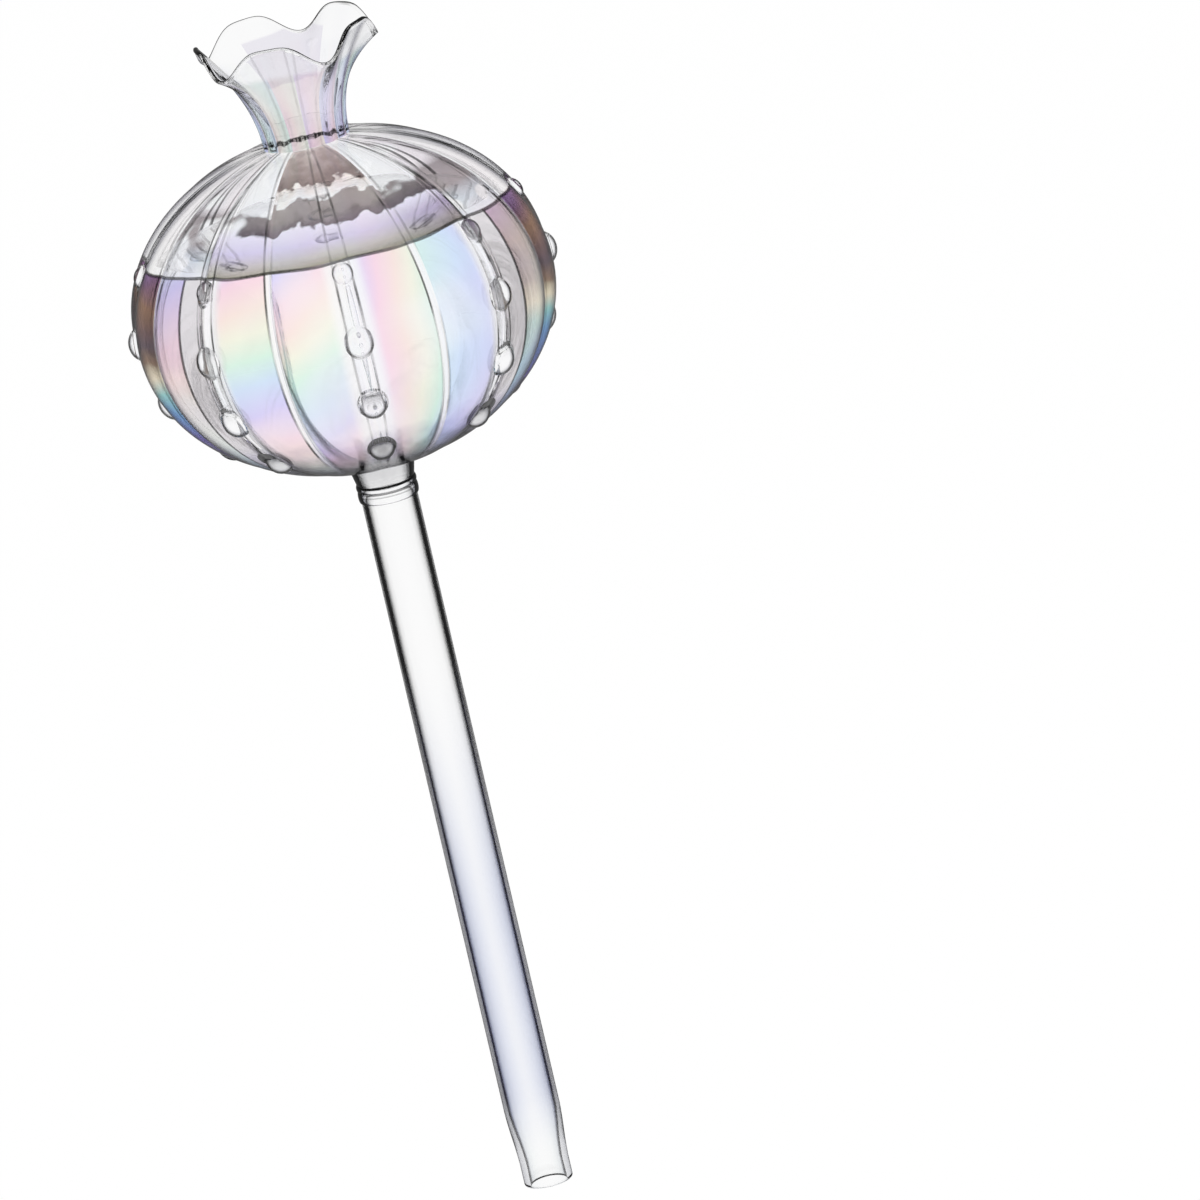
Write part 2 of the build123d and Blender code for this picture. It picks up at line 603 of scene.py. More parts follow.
class PearlFilmGroup(NodeGroup):
    """Interference colours that a thin pearly film gives to glass.

    Each panel row says where the colours of one panel start, how fast they change up the panel, and
    how much they slant. The rows repeat round the bulb.
    """

    name = "pearl_film"
    knobs = ("Start", "Across", "Rise", "Slant", "Cloud", "Own")
    inputs = {"Place": "Vector", "Number": "Float", "Side": "Float"} | dict.fromkeys(knobs, "Float")
    outputs = {"Pastel": "Color", "Deep": "Color", "Patch": "Float"}
    panel_rows: tuple[Colour, ...] = (
        (0.12, 0.15, 0.7),
        (0.68, 0.12, 0.2),
        (0.2, 0.4, 0.2),
        (0.45, 0.5, 0.1),
        (0.6, 0.7, 0.1),
        (0.05, 0.55, 0.15),
        (0.45, 1.0, 0.1),
        (0.38, 0.95, 0.3),
    )
    cloud_scale = 55.0
    cloud_detail = 1.5
    deep_from = (JOINS.bulb_base + 5.6) * MM
    deep_rise = 0.052
    deep_lean = 0.45
    deep_cloud = 0.25
    patch_scale = 45.0
    patch_detail = 1.0
    patch_span = (0.36, 0.6)
    patch_faintest = 0.6

    @classmethod
    def fill(cls, sheet: ShaderSheet, given: dict[str, Signal]) -> dict[str, Signal]:
        """Add the group's nodes.

        Args:
            sheet: The group's node sheet.
            given: Its inputs.

        Returns:
            The pastel colour, the deeper one of a panel that turns away, darkened by painted shade, and
            the film's patchy strength.
        """
        place = given["Place"]
        across, _, height = sheet.split(place)
        climb = height - JOINS.equator * MM
        cloud = sheet.noise(place, cls.cloud_scale, cls.cloud_detail) - 0.5
        start, rate, slant = cls.panel_row(sheet, given["Number"])
        phase = given["Start"] + start * given["Own"] + given["Across"] * across
        phase = phase + given["Rise"] * (1.0 - (1.0 - rate) * given["Own"]) * climb
        phase = phase + (given["Slant"] + (slant - given["Slant"]) * given["Own"]) * given["Side"]
        phase = phase + given["Cloud"] * cloud
        deep = (height - cls.deep_from) / cls.deep_rise + across * cls.deep_lean + cloud * cls.deep_cloud
        patch = sheet.noise(place, cls.patch_scale, cls.patch_detail)
        return {
            "Pastel": sheet.ramp(sheet.math("FRACT", phase), PASTEL_FILM),
            "Deep": sheet.ramp(deep, DEEP_FILM_AND_SHADE),
            "Patch": sheet.span(patch, *cls.patch_span, cls.patch_faintest),
        }

    @classmethod
    def panel_row(cls, sheet: ShaderSheet, number: Signal) -> tuple[Signal, Signal, Signal]:
        """Look up how a panel's own film differs from the plain one.

        Args:
            sheet: The group's node sheet.
            number: The panel's number.

        Returns:
            Where its colours start, how fast they change up the panel, and how much they slant.
        """
        count = len(cls.panel_rows)
        place = (sheet.math("FLOORED_MODULO", number, float(count)) + 0.5) / count
        rows = tuple((index / count, row) for index, row in enumerate(cls.panel_rows))
        node = sheet.node("ShaderNodeSeparateColor")
        sheet.feed(sheet.ramp(place, rows, "CONSTANT"), node.inputs[0])
        start, rate, slant = (Signal(sheet, socket) for socket in node.outputs)
        return start, rate, slant


# Painted edge shade of the glass, from face on to edge on: white face on, dark towards the edge

CLEAR_EDGE_SHADE: Tones = (
    (0.0, WHITE),
    (0.62, (0.95, 0.95, 0.97)),
    (0.8, (0.25, 0.25, 0.30)),
    (0.9, BLACK),
    (1.0, BLACK),
)
# Painted edge shade of the mouth's rim.
RIM_EDGE_SHADE: Tones = (
    (0.0, WHITE),
    (0.3, grey(0.9)),
    (0.42, grey(0.12)),
    (0.5, BLACK),
    (1.0, BLACK),
)
# Painted edge shade of the drops.
BEAD_EDGE_SHADE: Tones = (
    (0.0, WHITE),
    (0.3, (0.95, 0.95, 0.97)),
    (0.42, (0.45, 0.45, 0.48)),
    (0.52, grey(0.02)),
    (1.0, BLACK),
)
# Painted edge shade of the stem's bore, tube and ring; the low ramps are greyer, for lower down, and the
# tip ramps lighter.
BORE_EDGE_SHADE: Tones = (
    (0.0, WHITE),
    (0.25, grey(0.96)),
    (0.38, grey(0.70)),
    (0.5, grey(0.30)),
    (0.62, BLACK),
    (1.0, BLACK),
)
LOW_BORE_EDGE_SHADE: Tones = (
    (0.0, (0.95, 0.955, 0.98)),
    (0.06, (0.84, 0.86, 0.93)),
    (0.25, (0.62, 0.65, 0.75)),
    (0.42, (0.38, 0.40, 0.48)),
    (0.55, (0.10, 0.11, 0.16)),
    (0.64, BLACK),
    (1.0, BLACK),
)
TIP_BORE_EDGE_SHADE: Tones = (
    (0.0, WHITE),
    (0.2, (0.93, 0.95, 0.95)),
    (0.45, (0.68, 0.71, 0.74)),
    (0.56, (0.05, 0.05, 0.06)),
    (0.64, BLACK),
    (1.0, BLACK),
)
TUBE_EDGE_SHADE: Tones = (
    (0.0, WHITE),
    (0.3, grey(0.97)),
    (0.4, grey(0.30)),
    (0.46, BLACK),
    (0.66, BLACK),
    (0.85, grey(0.10)),
    (1.0, grey(0.30)),
)
LOW_TUBE_EDGE_SHADE: Tones = (
    (0.0, WHITE),
    (0.3, (0.90, 0.91, 0.97)),
    (0.38, (0.45, 0.46, 0.58)),
    (0.43, (0.01, 0.01, 0.03)),
    (0.5, (0.0, 0.0, 0.01)),
    (0.56, (0.08, 0.08, 0.09)),
    (0.78, (0.12, 0.12, 0.13)),
    (0.9, grey(0.04)),
    (1.0, grey(0.02)),
)
TIP_TUBE_EDGE_SHADE: Tones = (
    (0.0, WHITE),
    (0.3, (0.97, 0.97, 0.98)),
    (0.42, (0.60, 0.61, 0.64)),
    (0.7, (0.45, 0.46, 0.50)),
    (0.82, (0.05, 0.05, 0.06)),
    (1.0, BLACK),
)
RING_EDGE_SHADE: Tones = (
    (0.0, WHITE),
    (0.3, (0.90, 0.90, 0.92)),
    (0.42, (0.10, 0.10, 0.12)),
    (0.5, BLACK),
    (1.0, BLACK),
)
WATER_TONES: Tones = ((0.0, WHITE), (1.0, WHITE))
# Painted shade on the water's top, slightly darker edge on.
WATER_TOP_EDGE_SHADE: Tones = ((0.0, WHITE), (1.0, (0.97, 0.97, 0.98)))


# Finishes


@dataclass(frozen=True)
class ClearGlass:
    """Clear lampworked glass, whose base colour carries painted shade that runs from face on to edge on.
    """

    name: str
    # Painted edge shade, by facing.
    tones: Tones = CLEAR_EDGE_SHADE
    ior: float = 1.47
    roughness: float = 0.0
    alpha: float = 1.0

    def shader(self, sheet: ShaderSheet) -> bpy.types.Node:
        """Add the glass shader with its plain values.

        Args:
            sheet: The material's node sheet.

        Returns:
            The shader's node.
        """
        glass = sheet.node("ShaderNodeBsdfPrincipled")
        glass.inputs["Roughness"].default_value = self.roughness
        glass.inputs["IOR"].default_value = self.ior
        glass.inputs["Alpha"].default_value = self.alpha
        glass.inputs["Transmission Weight"].default_value = 1.0
        sheet.show(glass.outputs["BSDF"])
        return glass

    def facing(self, sheet: ShaderSheet, heading: Signal | None = None) -> Signal:
        """Return how far a face, or a heading of its own, turns away from the eye.

        Args:
            sheet: The material's node sheet.
            heading: The heading, if it isn't the face's.

        Returns:
            Zero face on, one edge on.
        """
        weight = sheet.node("ShaderNodeLayerWeight")
        weight.inputs["Blend"].default_value = 0.5
        if heading is not None:
            sheet.feed(heading, weight.inputs["Normal"])
        return Signal(sheet, weight.outputs["Facing"])

    def edge_shaded(self, sheet: ShaderSheet) -> Signal:
        """Return the glass's painted edge shade, which grows dark towards the edge."""
        return sheet.ramp(self.facing(sheet), self.tones)

    def colour(self, sheet: ShaderSheet) -> Signal:
        """Return the colour that the finish shows."""
        return self.edge_shaded(sheet)

    def material(self) -> bpy.types.Material:
        """Build the finish once.

        Returns:
            The finish as a material.
        """
        found = bpy.data.materials.get(self.name)
        if found:
            return found
        made = bpy.data.materials.new(self.name)
        made.use_nodes = True
        made.node_tree.nodes.clear()
        sheet = ShaderSheet(made.node_tree)
        glass = self.shader(sheet)
        # The base colour carries the finish's painted shade.
        sheet.feed(self.colour(sheet), glass.inputs["Base Color"])
        return made


@dataclass(frozen=True)
class NearWall(ClearGlass):
    """Inner side of a wall, with painted shade at the edge on the side towards the eye alone."""

    def colour(self, sheet: ShaderSheet) -> Signal:
        """Return the colour of the glass, with its painted dark edge."""
        return sheet.blend(sheet.behind(), rgba(WHITE), self.edge_shaded(sheet))


@dataclass(frozen=True)
class MouthInside(ClearGlass):
    """Inside of the mouth, with a painted reflection: the pale patch that its far side mirrors."""

    # Colour of the painted reflection patch.
    patch: Colour = tint(238, 236, 243)
    low: float = (JOINS.shoulder_top + 10.3) * MM
    high: float = (JOINS.shoulder_top + 20.4) * MM
    soft: float = 0.0003
    most_aside: float = 0.2

    def colour(self, sheet: ShaderSheet) -> Signal:
        """Return the colour of the glass, with the painted reflection patch.

        Args:
            sheet: The material's node sheet.

        Returns:
            The colour.
        """
        across, away, height = sheet.split(sheet.coordinates())
        heading = sheet.vector("NORMALIZE", sheet.level_vector(across, away))
        share = (1.0 - sheet.behind()) * (self.facing(sheet, heading) < self.most_aside)
        share = share * sheet.span(height, self.low - self.soft, self.low + self.soft)
        share = share * sheet.span(height, self.high - self.soft, self.high + self.soft, 1.0, 0.0)
        return sheet.blend(share, self.edge_shaded(sheet), rgba(self.patch))


@dataclass(frozen=True)
class TubeGlass(ClearGlass):
    """Clear tube with painted shade, which is greyer lower down and whose dark lines grow fainter at the
    tip.

    Each ring is a painted shade line round the tube: its height, half its width and its strength.
    """

    low_tones: Tones = CLEAR_EDGE_SHADE
    tip_tones: Tones = CLEAR_EDGE_SHADE
    low_span: Span = (0.055, 0.12)
    tip_span: Span = (0.006, 0.022)
    rings: tuple[tuple[float, float, float], ...] = ()

    def colour(self, sheet: ShaderSheet) -> Signal:
        """Return the colour of the glass, with its painted dark edges and dark lines.

        Args:
            sheet: The material's node sheet.

        Returns:
            The colour.
        """
        facing = self.facing(sheet)
        _, _, height = sheet.split(sheet.coordinates())
        bands = (self.low_tones, self.tip_tones, self.tones)
        low, tip, high = (sheet.ramp(facing, tones) for tones in bands)
        colour = sheet.blend(sheet.span(height, *self.low_span), low, high)
        colour = sheet.blend(sheet.span(height, *self.tip_span), tip, colour)
        near = 1.0 - sheet.behind()
        # Painted shade lines round the tube, on the side towards the eye.
        for level, half, strength in self.rings:
            share = sheet.span(abs(height - level), half / 2, half, strength, 0.0) * near
            colour = sheet.blend(share, colour, rgba(BLACK))
        return colour


@dataclass(frozen=True)
class DropGlass(ClearGlass):
    """Clear drop with painted shade, dark along its sides and clear at its upper and lower end."""

    end_span: Span = (0.5, 0.85)
    end_clearness: float = 0.85

    def colour(self, sheet: ShaderSheet) -> Signal:
        """Return the colour of the drop, with its painted dark sides.

        Args:
            sheet: The material's node sheet.

        Returns:
            The colour.
        """
        place = sheet.coordinates()
        across, away, _ = sheet.split(place)
        around = sheet.level_vector(away * -1.0, across)
        out = sheet.vector("SUBTRACT", place, (0.0, 0.0, JOINS.equator * MM))
        along = sheet.vector("NORMALIZE", sheet.vector("CROSS_PRODUCT", out, around))
        turned = sheet.vector("DOT_PRODUCT", sheet.coordinates("Normal"), along)
        clear = sheet.span(abs(turned), *self.end_span, 0.0, self.end_clearness)
        return sheet.blend(clear, self.edge_shaded(sheet), rgba(WHITE))


@dataclass(frozen=True)
class Spot:
    """What the pearly finishes know of a point on the glass.

    Attributes:
        place: Its object coordinates.
        right: How far right of the axis it lies.
        height: How high it lies.
        near: One on the side towards the eye.
        wet: One below the height at which the film changes.
        foot: One above the bulb's foot.
        aside: How far its panel turns away from the eye.
        panel: What the panel group puts out.
        film: What the film group puts out.
    """

    place: Signal
    right: Signal
    height: Signal
    near: Signal
    wet: Signal
    foot: Signal
    aside: Signal
    panel: dict[str, Signal]
    film: dict[str, Signal]


@dataclass(frozen=True)
class PearlGlass(ClearGlass):
    """Glass under a thin film, which shows pastel bands, with painted shade: fine dark lines along its
    creases and a dark edge.

    Start, across, rise, slant and cloud say where the film's colours start, how fast they change to the
    right and upwards, how much they slant over a panel, and how much they cloud. Own is the share that
    the panels' own rows have in this.
    """

    start: float = 0.0
    across: float = 0.0
    rise: float = -28.0
    slant: float = 0.4
    cloud: float = 0.25
    own: float = 1.0
    ground: Colour = WHITE
    low_strength: float = 0.95
    high_strength: float = 0.15
    change_height: float = JOINS.water_level * MM
    change_width: float = 0.0006
    foot_span: Span = ((JOINS.bulb_base + 1.8) * MM, (JOINS.bulb_base + 8.8) * MM)
    edge_fade: Span = ((JOINS.shoulder_top - 2.7) * MM, (JOINS.shoulder_top - 0.7) * MM)
    back_strength: float = 0.1
    rib_strength: float = 0.12
    # Strength and half width of the painted shade lines.
    line_strength: float = 0.97
    line_width: float = 0.00034

    def spot(self, sheet: ShaderSheet) -> Spot:
        """Add the nodes that tell a point's place.

        Args:
            sheet: The material's node sheet.

        Returns:
            What they put out.
        """
        place = sheet.coordinates()
        right, _, height = sheet.split(place)
        lines = {"Place": place, "Rib Edge": JOINS.rib_edge, "Line Width": self.line_width}
        panel = sheet.group(PanelGroup.tree(), lines)
        knobs = {name: getattr(self, name.lower()) for name in PearlFilmGroup.knobs}
        spread = {"Place": place, "Number": panel["Number"], "Side": panel["Across"]}
        half = self.change_width / 2
        return Spot(
            place=place,
            right=right,
            height=height,
            near=1.0 - sheet.behind(),
            wet=sheet.span(height, self.change_height - half, self.change_height + half, 1.0, 0.0),
            foot=sheet.span(height, *self.foot_span),
            aside=self.facing(sheet, panel["Heading"]),
            panel=panel,
            film=sheet.group(PearlFilmGroup.tree(), spread | knobs),
        )

    def pastel(self, sheet: ShaderSheet, spot: Spot) -> Signal:
        """Lay the pastel film on clear glass.

        Args:
            sheet: The material's node sheet.
            spot: The point's place.

        Returns:
            The colour.
        """
        share = sheet.span(spot.wet, 0.0, 1.0, self.high_strength, self.low_strength)
        share = share * sheet.span(spot.near, 0.0, 1.0, self.back_strength)
        share = share * sheet.span(spot.panel["Body"], 0.0, 1.0, self.rib_strength)
        share = share * spot.foot * spot.film["Patch"]
        tinted = sheet.blend(1.0, spot.film["Pastel"], rgba(self.ground), "MULTIPLY")
        return sheet.blend(share, rgba(WHITE), tinted)

    def with_painted_light(self, sheet: ShaderSheet, spot: Spot, colour: Signal) -> Signal:
        """Add the painted shade and reflections that a finish has besides its film, of which the plain one
        has none.
        """
        return colour

    def colour(self, sheet: ShaderSheet) -> Signal:
        """Return the film's colours over the glass, with its painted shade lines and its painted dark
        edge.

        Args:
            sheet: The material's node sheet.

        Returns:
            The colour.
        """
        spot = self.spot(sheet)
        colour = self.with_painted_light(sheet, spot, self.pastel(sheet, spot))
        # Painted shade lines on the side towards the eye.
        line = spot.panel["Line"] * self.line_strength * spot.near * spot.foot
        colour = sheet.blend(line, colour, rgba(BLACK))
        # Painted dark edge, by facing, which fades out towards the shoulder's top.
        edge = spot.near * sheet.span(spot.height, *self.edge_fade, 1.0, 0.0)
        return sheet.blend(edge, colour, self.edge_shaded(sheet), "MULTIPLY")


@dataclass(frozen=True)
class BulbGlass(PearlGlass):
    """Pearly glass with what shows on the bulb alone: deep colours and painted shade at the sides, and
    painted shade and reflections at the water.

    The limits named two, four and six say how far aside the two, four or six panels nearest to the eye
    turn. The painted shade and reflections over the water are placed by shares of their rise.
    """

    two_aside: float = 0.12
    four_aside: float = 0.33
    six_aside: float = 0.6
    deep_span: Span = (0.36, 0.46)
    limb_span: Span = (0.6, 0.7)
    deep_left: float = 0.3
    deep_right: float = 0.72
    side_blur: float = 0.01
    # Colour of the painted pale strip.
    strip: Colour = tint(230, 226, 228)
    strip_span: Span = (-0.14, -0.11)
    shade_line_place: float = 0.12
    shade_line_span: Span = (0.012, 0.03)
    shade_line_strength: float = 0.97
    waver_scale: float = 260.0
    waver_height: float = 0.0026
    panel_sag: float = 0.002
    painted_shade_base: float = (JOINS.water_level + 0.2) * MM
    painted_shade_rise: float = 0.02
    # Tint of the painted shade on the right.
    dusk: Colour = tint(214, 206, 214)
    dusk_right: Span = (0.004, 0.026)
    dusk_level: Span = (0.2, 0.36)
    gap_scale: float = 110.0
    gap_span: Span = (0.36, 0.44)
    streak_scale: float = 380.0
    streak_stretch: float = 0.2
    streak_share: float = 0.16
    foot_base: float = (JOINS.nozzle_base - 0.1) * MM
    foot_rise: float = 0.0205
    foot_waver: float = 0.25
    nozzle_span: Span = ((JOINS.bulb_base - 0.3) * MM, (JOINS.bulb_base + 0.5) * MM)
    sway_scale: float = 70.0
    sway_height: float = 0.0012
    water_line_span: Span = (0.0002, 0.00045)
    water_line_strength: float = 0.95

    def with_painted_light(self, sheet: ShaderSheet, spot: Spot, colour: Signal) -> Signal:
        """Add the bulb's painted shade and reflections.

        Args:
            sheet: The material's node sheet.
            spot: The point's place.
            colour: The colour so far.

        Returns:
            The colour with the painted shade and reflections.
        """
        waver = sheet.noise(spot.place, self.waver_scale, detail=2.0) - 0.5
        colour = self.deepened(sheet, spot, colour)
        colour = self.strip_and_line_painted(sheet, spot, colour)
        colour = self.shaded(sheet, spot, colour, waver)
        colour = self.footed(sheet, spot, colour, waver)
        return self.water_lined(sheet, spot, colour)

    def deepened(self, sheet: ShaderSheet, spot: Spot, colour: Signal) -> Signal:
        """Show the film's deeper colours, darkened by painted shade, on the panels that turn aside.

        Args:
            sheet: The material's node sheet.
            spot: The point's place.
            colour: The colour so far.

        Returns:
            The colour with them.
        """
        # The deep colours and their painted shade are stronger on the right.
        side = sheet.span(spot.right, -self.side_blur, self.side_blur, self.deep_left, self.deep_right)
        share = sheet.span(spot.aside, *self.deep_span) * side
        share = sheet.math("MAXIMUM", share, sheet.span(spot.aside, *self.limb_span))
        share = share * spot.wet * spot.near * spot.foot
        return sheet.blend(share, colour, spot.film["Deep"])

    def strip_and_line_painted(self, sheet: ShaderSheet, spot: Spot, colour: Signal) -> Signal:
        """Draw painted light and shade: a pale strip and a dark line along the inner side of the panels
        next to the outermost ones.

        Args:
            sheet: The material's node sheet.
            spot: The point's place.
            colour: The colour so far.

        Returns:
            The colour with the strip and the line.
        """
        leaning = spot.panel["Across"] * sheet.math("SIGN", spot.right)
        turned = (spot.aside > self.deep_span[0]) * (spot.aside < self.six_aside)
        turned = turned * spot.wet * spot.near * spot.foot
        # Painted light: a pale strip beside the rib.
        strip = turned * sheet.span(leaning, *self.strip_span, 1.0, 0.0)
        colour = sheet.blend(strip, colour, rgba(self.strip))
        # Painted shade: a dark line along the panel.
        shade_line = abs(leaning + self.shade_line_place)
        shade_line = turned * sheet.span(shade_line, *self.shade_line_span, self.shade_line_strength, 0.0)
        return sheet.blend(shade_line, colour, rgba(BLACK))

    def shaded(self, sheet: ShaderSheet, spot: Spot, colour: Signal, waver: Signal) -> Signal:
        """Show the water's surface as painted reflection and shade, and the shoulder's dark patches over
        the water as painted shade.

        Args:
            sheet: The material's node sheet.
            spot: The point's place.
            colour: The colour so far.
            waver: Fine noise about zero.

        Returns:
            The colour with them.
        """
        raised = spot.height + waver * self.waver_height + abs(spot.panel["Across"]) * self.panel_sag
        share = (raised - self.painted_shade_base) / self.painted_shade_rise
        level = (spot.height - self.painted_shade_base) / self.painted_shade_rise
        dry = spot.near * (spot.height > self.change_height)
        four = dry * (spot.aside < self.four_aside)
        # Painted reflection and shade of the water's surface on the four nearest panels.
        colour = sheet.blend(four, colour, sheet.ramp(level, SURFACE_SHADE_AND_REFLECTION), "MULTIPLY")
        # Painted shade on the right, low over the water.
        dusk = four * sheet.span(spot.right, *self.dusk_right)
        dusk = dusk * sheet.span(level, *self.dusk_level, 1.0, 0.0)
        colour = sheet.blend(dusk, colour, rgba(self.dusk), "MULTIPLY")
        # Painted shade: broken dark patches on the panels beside the front two.
        broken = sheet.span(sheet.noise(spot.place, self.gap_scale, detail=1.0), *self.gap_span)
        two = spot.near * (spot.aside < self.two_aside)
        colour = sheet.blend((four - two) * broken, colour, sheet.ramp(share, SHADE_MARKS), "MULTIPLY")
        # Painted shade on the two front panels, streaked.
        drawn_out = sheet.vector("MULTIPLY", spot.place, (1.0, 1.0, self.streak_stretch))
        streaks = (sheet.noise(drawn_out, self.streak_scale, detail=1.0) - 0.5) * self.streak_share
        colour = sheet.blend(two, colour, sheet.ramp(share + streaks, NECK_SHADE), "MULTIPLY")
        # Painted grey shade, broken, on the panels further aside.
        outer = (dry * (spot.aside < self.six_aside) - four) * broken
        return sheet.blend(outer, colour, sheet.ramp(level, OUTER_PANEL_SHADE), "MULTIPLY")

    def footed(self, sheet: ShaderSheet, spot: Spot, colour: Signal, waver: Signal) -> Signal:
        """Paint shade on the bulb's foot, darker towards the bottom, and a dark edge on its nozzle.

        Args:
            sheet: The material's node sheet.
            spot: The point's place.
            colour: The colour so far.
            waver: Fine noise about zero.

        Returns:
            The darker colour.
        """
        # Painted shade, darker towards the foot.
        low = (spot.height - self.foot_base) / self.foot_rise + waver * self.foot_waver
        colour = sheet.blend(spot.near, colour, sheet.ramp(low, FOOT_SHADE), "MULTIPLY")
        # Painted dark edge on the nozzle.
        nozzle = spot.near * sheet.span(spot.height, *self.nozzle_span, 1.0, 0.0)
        return sheet.blend(nozzle, colour, sheet.ramp(self.facing(sheet), NOZZLE_EDGE_SHADE), "MULTIPLY")

    def water_lined(self, sheet: ShaderSheet, spot: Spot, colour: Signal) -> Signal:
        """Draw a painted shade line at the water's level.

        Args:
            sheet: The material's node sheet.
            spot: The point's place.
            colour: The colour so far.

        Returns:
            The colour with the line.
        """
        sway = (sheet.noise(spot.place, self.sway_scale, detail=0.0) - 0.5) * self.sway_height
        gap = abs(spot.height + sway - self.change_height)
        # Painted shade line on the side towards the eye.
        line = sheet.span(gap, *self.water_line_span, self.water_line_strength, 0.0)
        return sheet.blend(line * spot.near, colour, rgba(BLACK))


INNER_WALL = NearWall("inner_wall_glass")
BULB_FILM = BulbGlass("pearl_bulb_glass")
MOUTH_FILM = PearlGlass(
    "pearl_mouth_glass",
    start=0.42,
    across=-40.0,
    ground=tint(226, 223, 231),
    rise=-6.0,
    slant=0.45,
    cloud=0.35,
    own=0.0,
    low_strength=1.0,
    high_strength=0.08,
    change_height=(JOINS.shoulder_top + 17.3) * MM,
    change_width=0.003,
    edge_fade=(1.0, 1.002),
    rib_strength=1.0,
    line_strength=0.35,
)
MOUTH_INSIDE = MouthInside("mouth_inner_glass")
BEAD = DropGlass("drop_glass", tones=BEAD_EDGE_SHADE)
LOW_BEAD = DropGlass("low_drop_glass", tones=BEAD_EDGE_SHADE, roughness=0.35)
STEM_OUTSIDE = TubeGlass(
    "stem_outer_glass",
    tones=TUBE_EDGE_SHADE,
    low_tones=LOW_TUBE_EDGE_SHADE,
    tip_tones=TIP_TUBE_EDGE_SHADE,
)
STEM_BORE = TubeGlass(
    "stem_bore_glass",
    tones=BORE_EDGE_SHADE,
    low_tones=LOW_BORE_EDGE_SHADE,
    tip_tones=TIP_BORE_EDGE_SHADE,
)
RING_OUTSIDE = TubeGlass(
    "ring_glass",
    tones=RING_EDGE_SHADE,
    # Painted shade lines at the ring's rolls.
    rings=(
        ((JOINS.stem_length + 3.7) * MM, 0.00045, 1.0),
        ((JOINS.stem_length + 2.3) * MM, 0.00028, 0.9),
        ((JOINS.stem_length + 1.6) * MM, 0.0002, 0.6),
    ),
)
SEAM = ClearGlass("fused_seam", alpha=0.0)
RIM = ClearGlass("rim_glass", tones=RIM_EDGE_SHADE)
WATER_SIDE = ClearGlass("water_side", ior=1.33, roughness=0.04, tones=WATER_TONES)
WATER_TOP = ClearGlass("water_surface", ior=1.33, tones=WATER_TOP_EDGE_SHADE)


# Shapes


def arc(centre: Span, radii: Span, start: float, end: float, steps: int) -> Profile:
    """Follow an elliptic arc in the plane of radius and height.

    Args:
        centre: Its centre.
        radii: Its half axes.
        start: The angle at which it starts.
        end: The angle at which it ends.
        steps: How many steps it has.

    Returns:
        Its points, without the last one.
    """
    points = []
    for step in range(steps):
        angle = start + (end - start) * step / steps
        points.append((centre[0] + radii[0] * math.cos(angle), centre[1] + radii[1] * math.sin(angle)))
    return points


def straight(first: Span, last: Span, steps: int) -> Profile:
    """Follow a straight stretch.

    Args:
        first: Where it starts.
        last: Where it ends.
        steps: How many steps it has.

    Returns:
        Its points, without the last one.
    """
    shares = [step / steps for step in range(steps)]
    return [(first[0] + (last[0] - first[0]) * s, first[1] + (last[1] - first[1]) * s) for s in shares]


def spun(profile: Profile, steps: int) -> bmesh.types.BMesh:
    """Spin a closed profile of radius and height, in millimetres, about the axis.

    Args:
        profile: The profile's corners, in order.
        steps: How many steps make a full turn.

    Returns:
        A closed mesh whose rings start at the front.
    """
    mesh = bmesh.new()
    corners = [mesh.verts.new((0, -radius * MM, height * MM)) for radius, height in profile]
    edges = [mesh.edges.new((corners[i - 1], corner)) for i, corner in enumerate(corners)]
    bmesh.ops.spin(
        mesh,
        geom=corners + edges,
        cent=(0, 0, 0),
        axis=(0, 0, 1),
        angle=FULL_TURN,
        steps=steps,
        use_merge=True,
    )
    bmesh.ops.recalc_face_normals(mesh, faces=mesh.faces)
    return mesh


def finished(
    name: str, mesh: bmesh.types.BMesh, finishes: list[ClearGlass], crease: float = 35.0
) -> bpy.types.Object:
    """Turn a mesh into a smooth piece with its finishes.

    Args:
        name: The piece's name.
        mesh: The mesh, which is freed.
        finishes: One finish for each material index.
        crease: Angle in degrees past which an edge stays sharp.

    Returns:
        The piece, at the origin.
    """
    for face in mesh.faces:
        face.smooth = True
    for edge in mesh.edges:
        edge.smooth = len(edge.link_faces) < 2 or edge.calc_face_angle(0) < math.radians(crease)
    data = bpy.data.meshes.new(name)
    mesh.to_mesh(data)
    mesh.free()
    for finish in finishes:
        data.materials.append(finish.material())
    piece = bpy.data.objects.new(name, data)
    bpy.context.scene.collection.objects.link(piece)
    return piece


def put_on(piece: bpy.types.Object, nodes: list[str]) -> None:
    """Let a piece ride on the body, and report it.

    Args:
        piece: The piece.
        nodes: The nodes that the piece stands for.
    """
    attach(piece, "root")
    if nodes:
        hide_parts(*nodes)
    log.info("%s: %d faces", piece.name, len(piece.data.polygons))


# Sub-assemblies


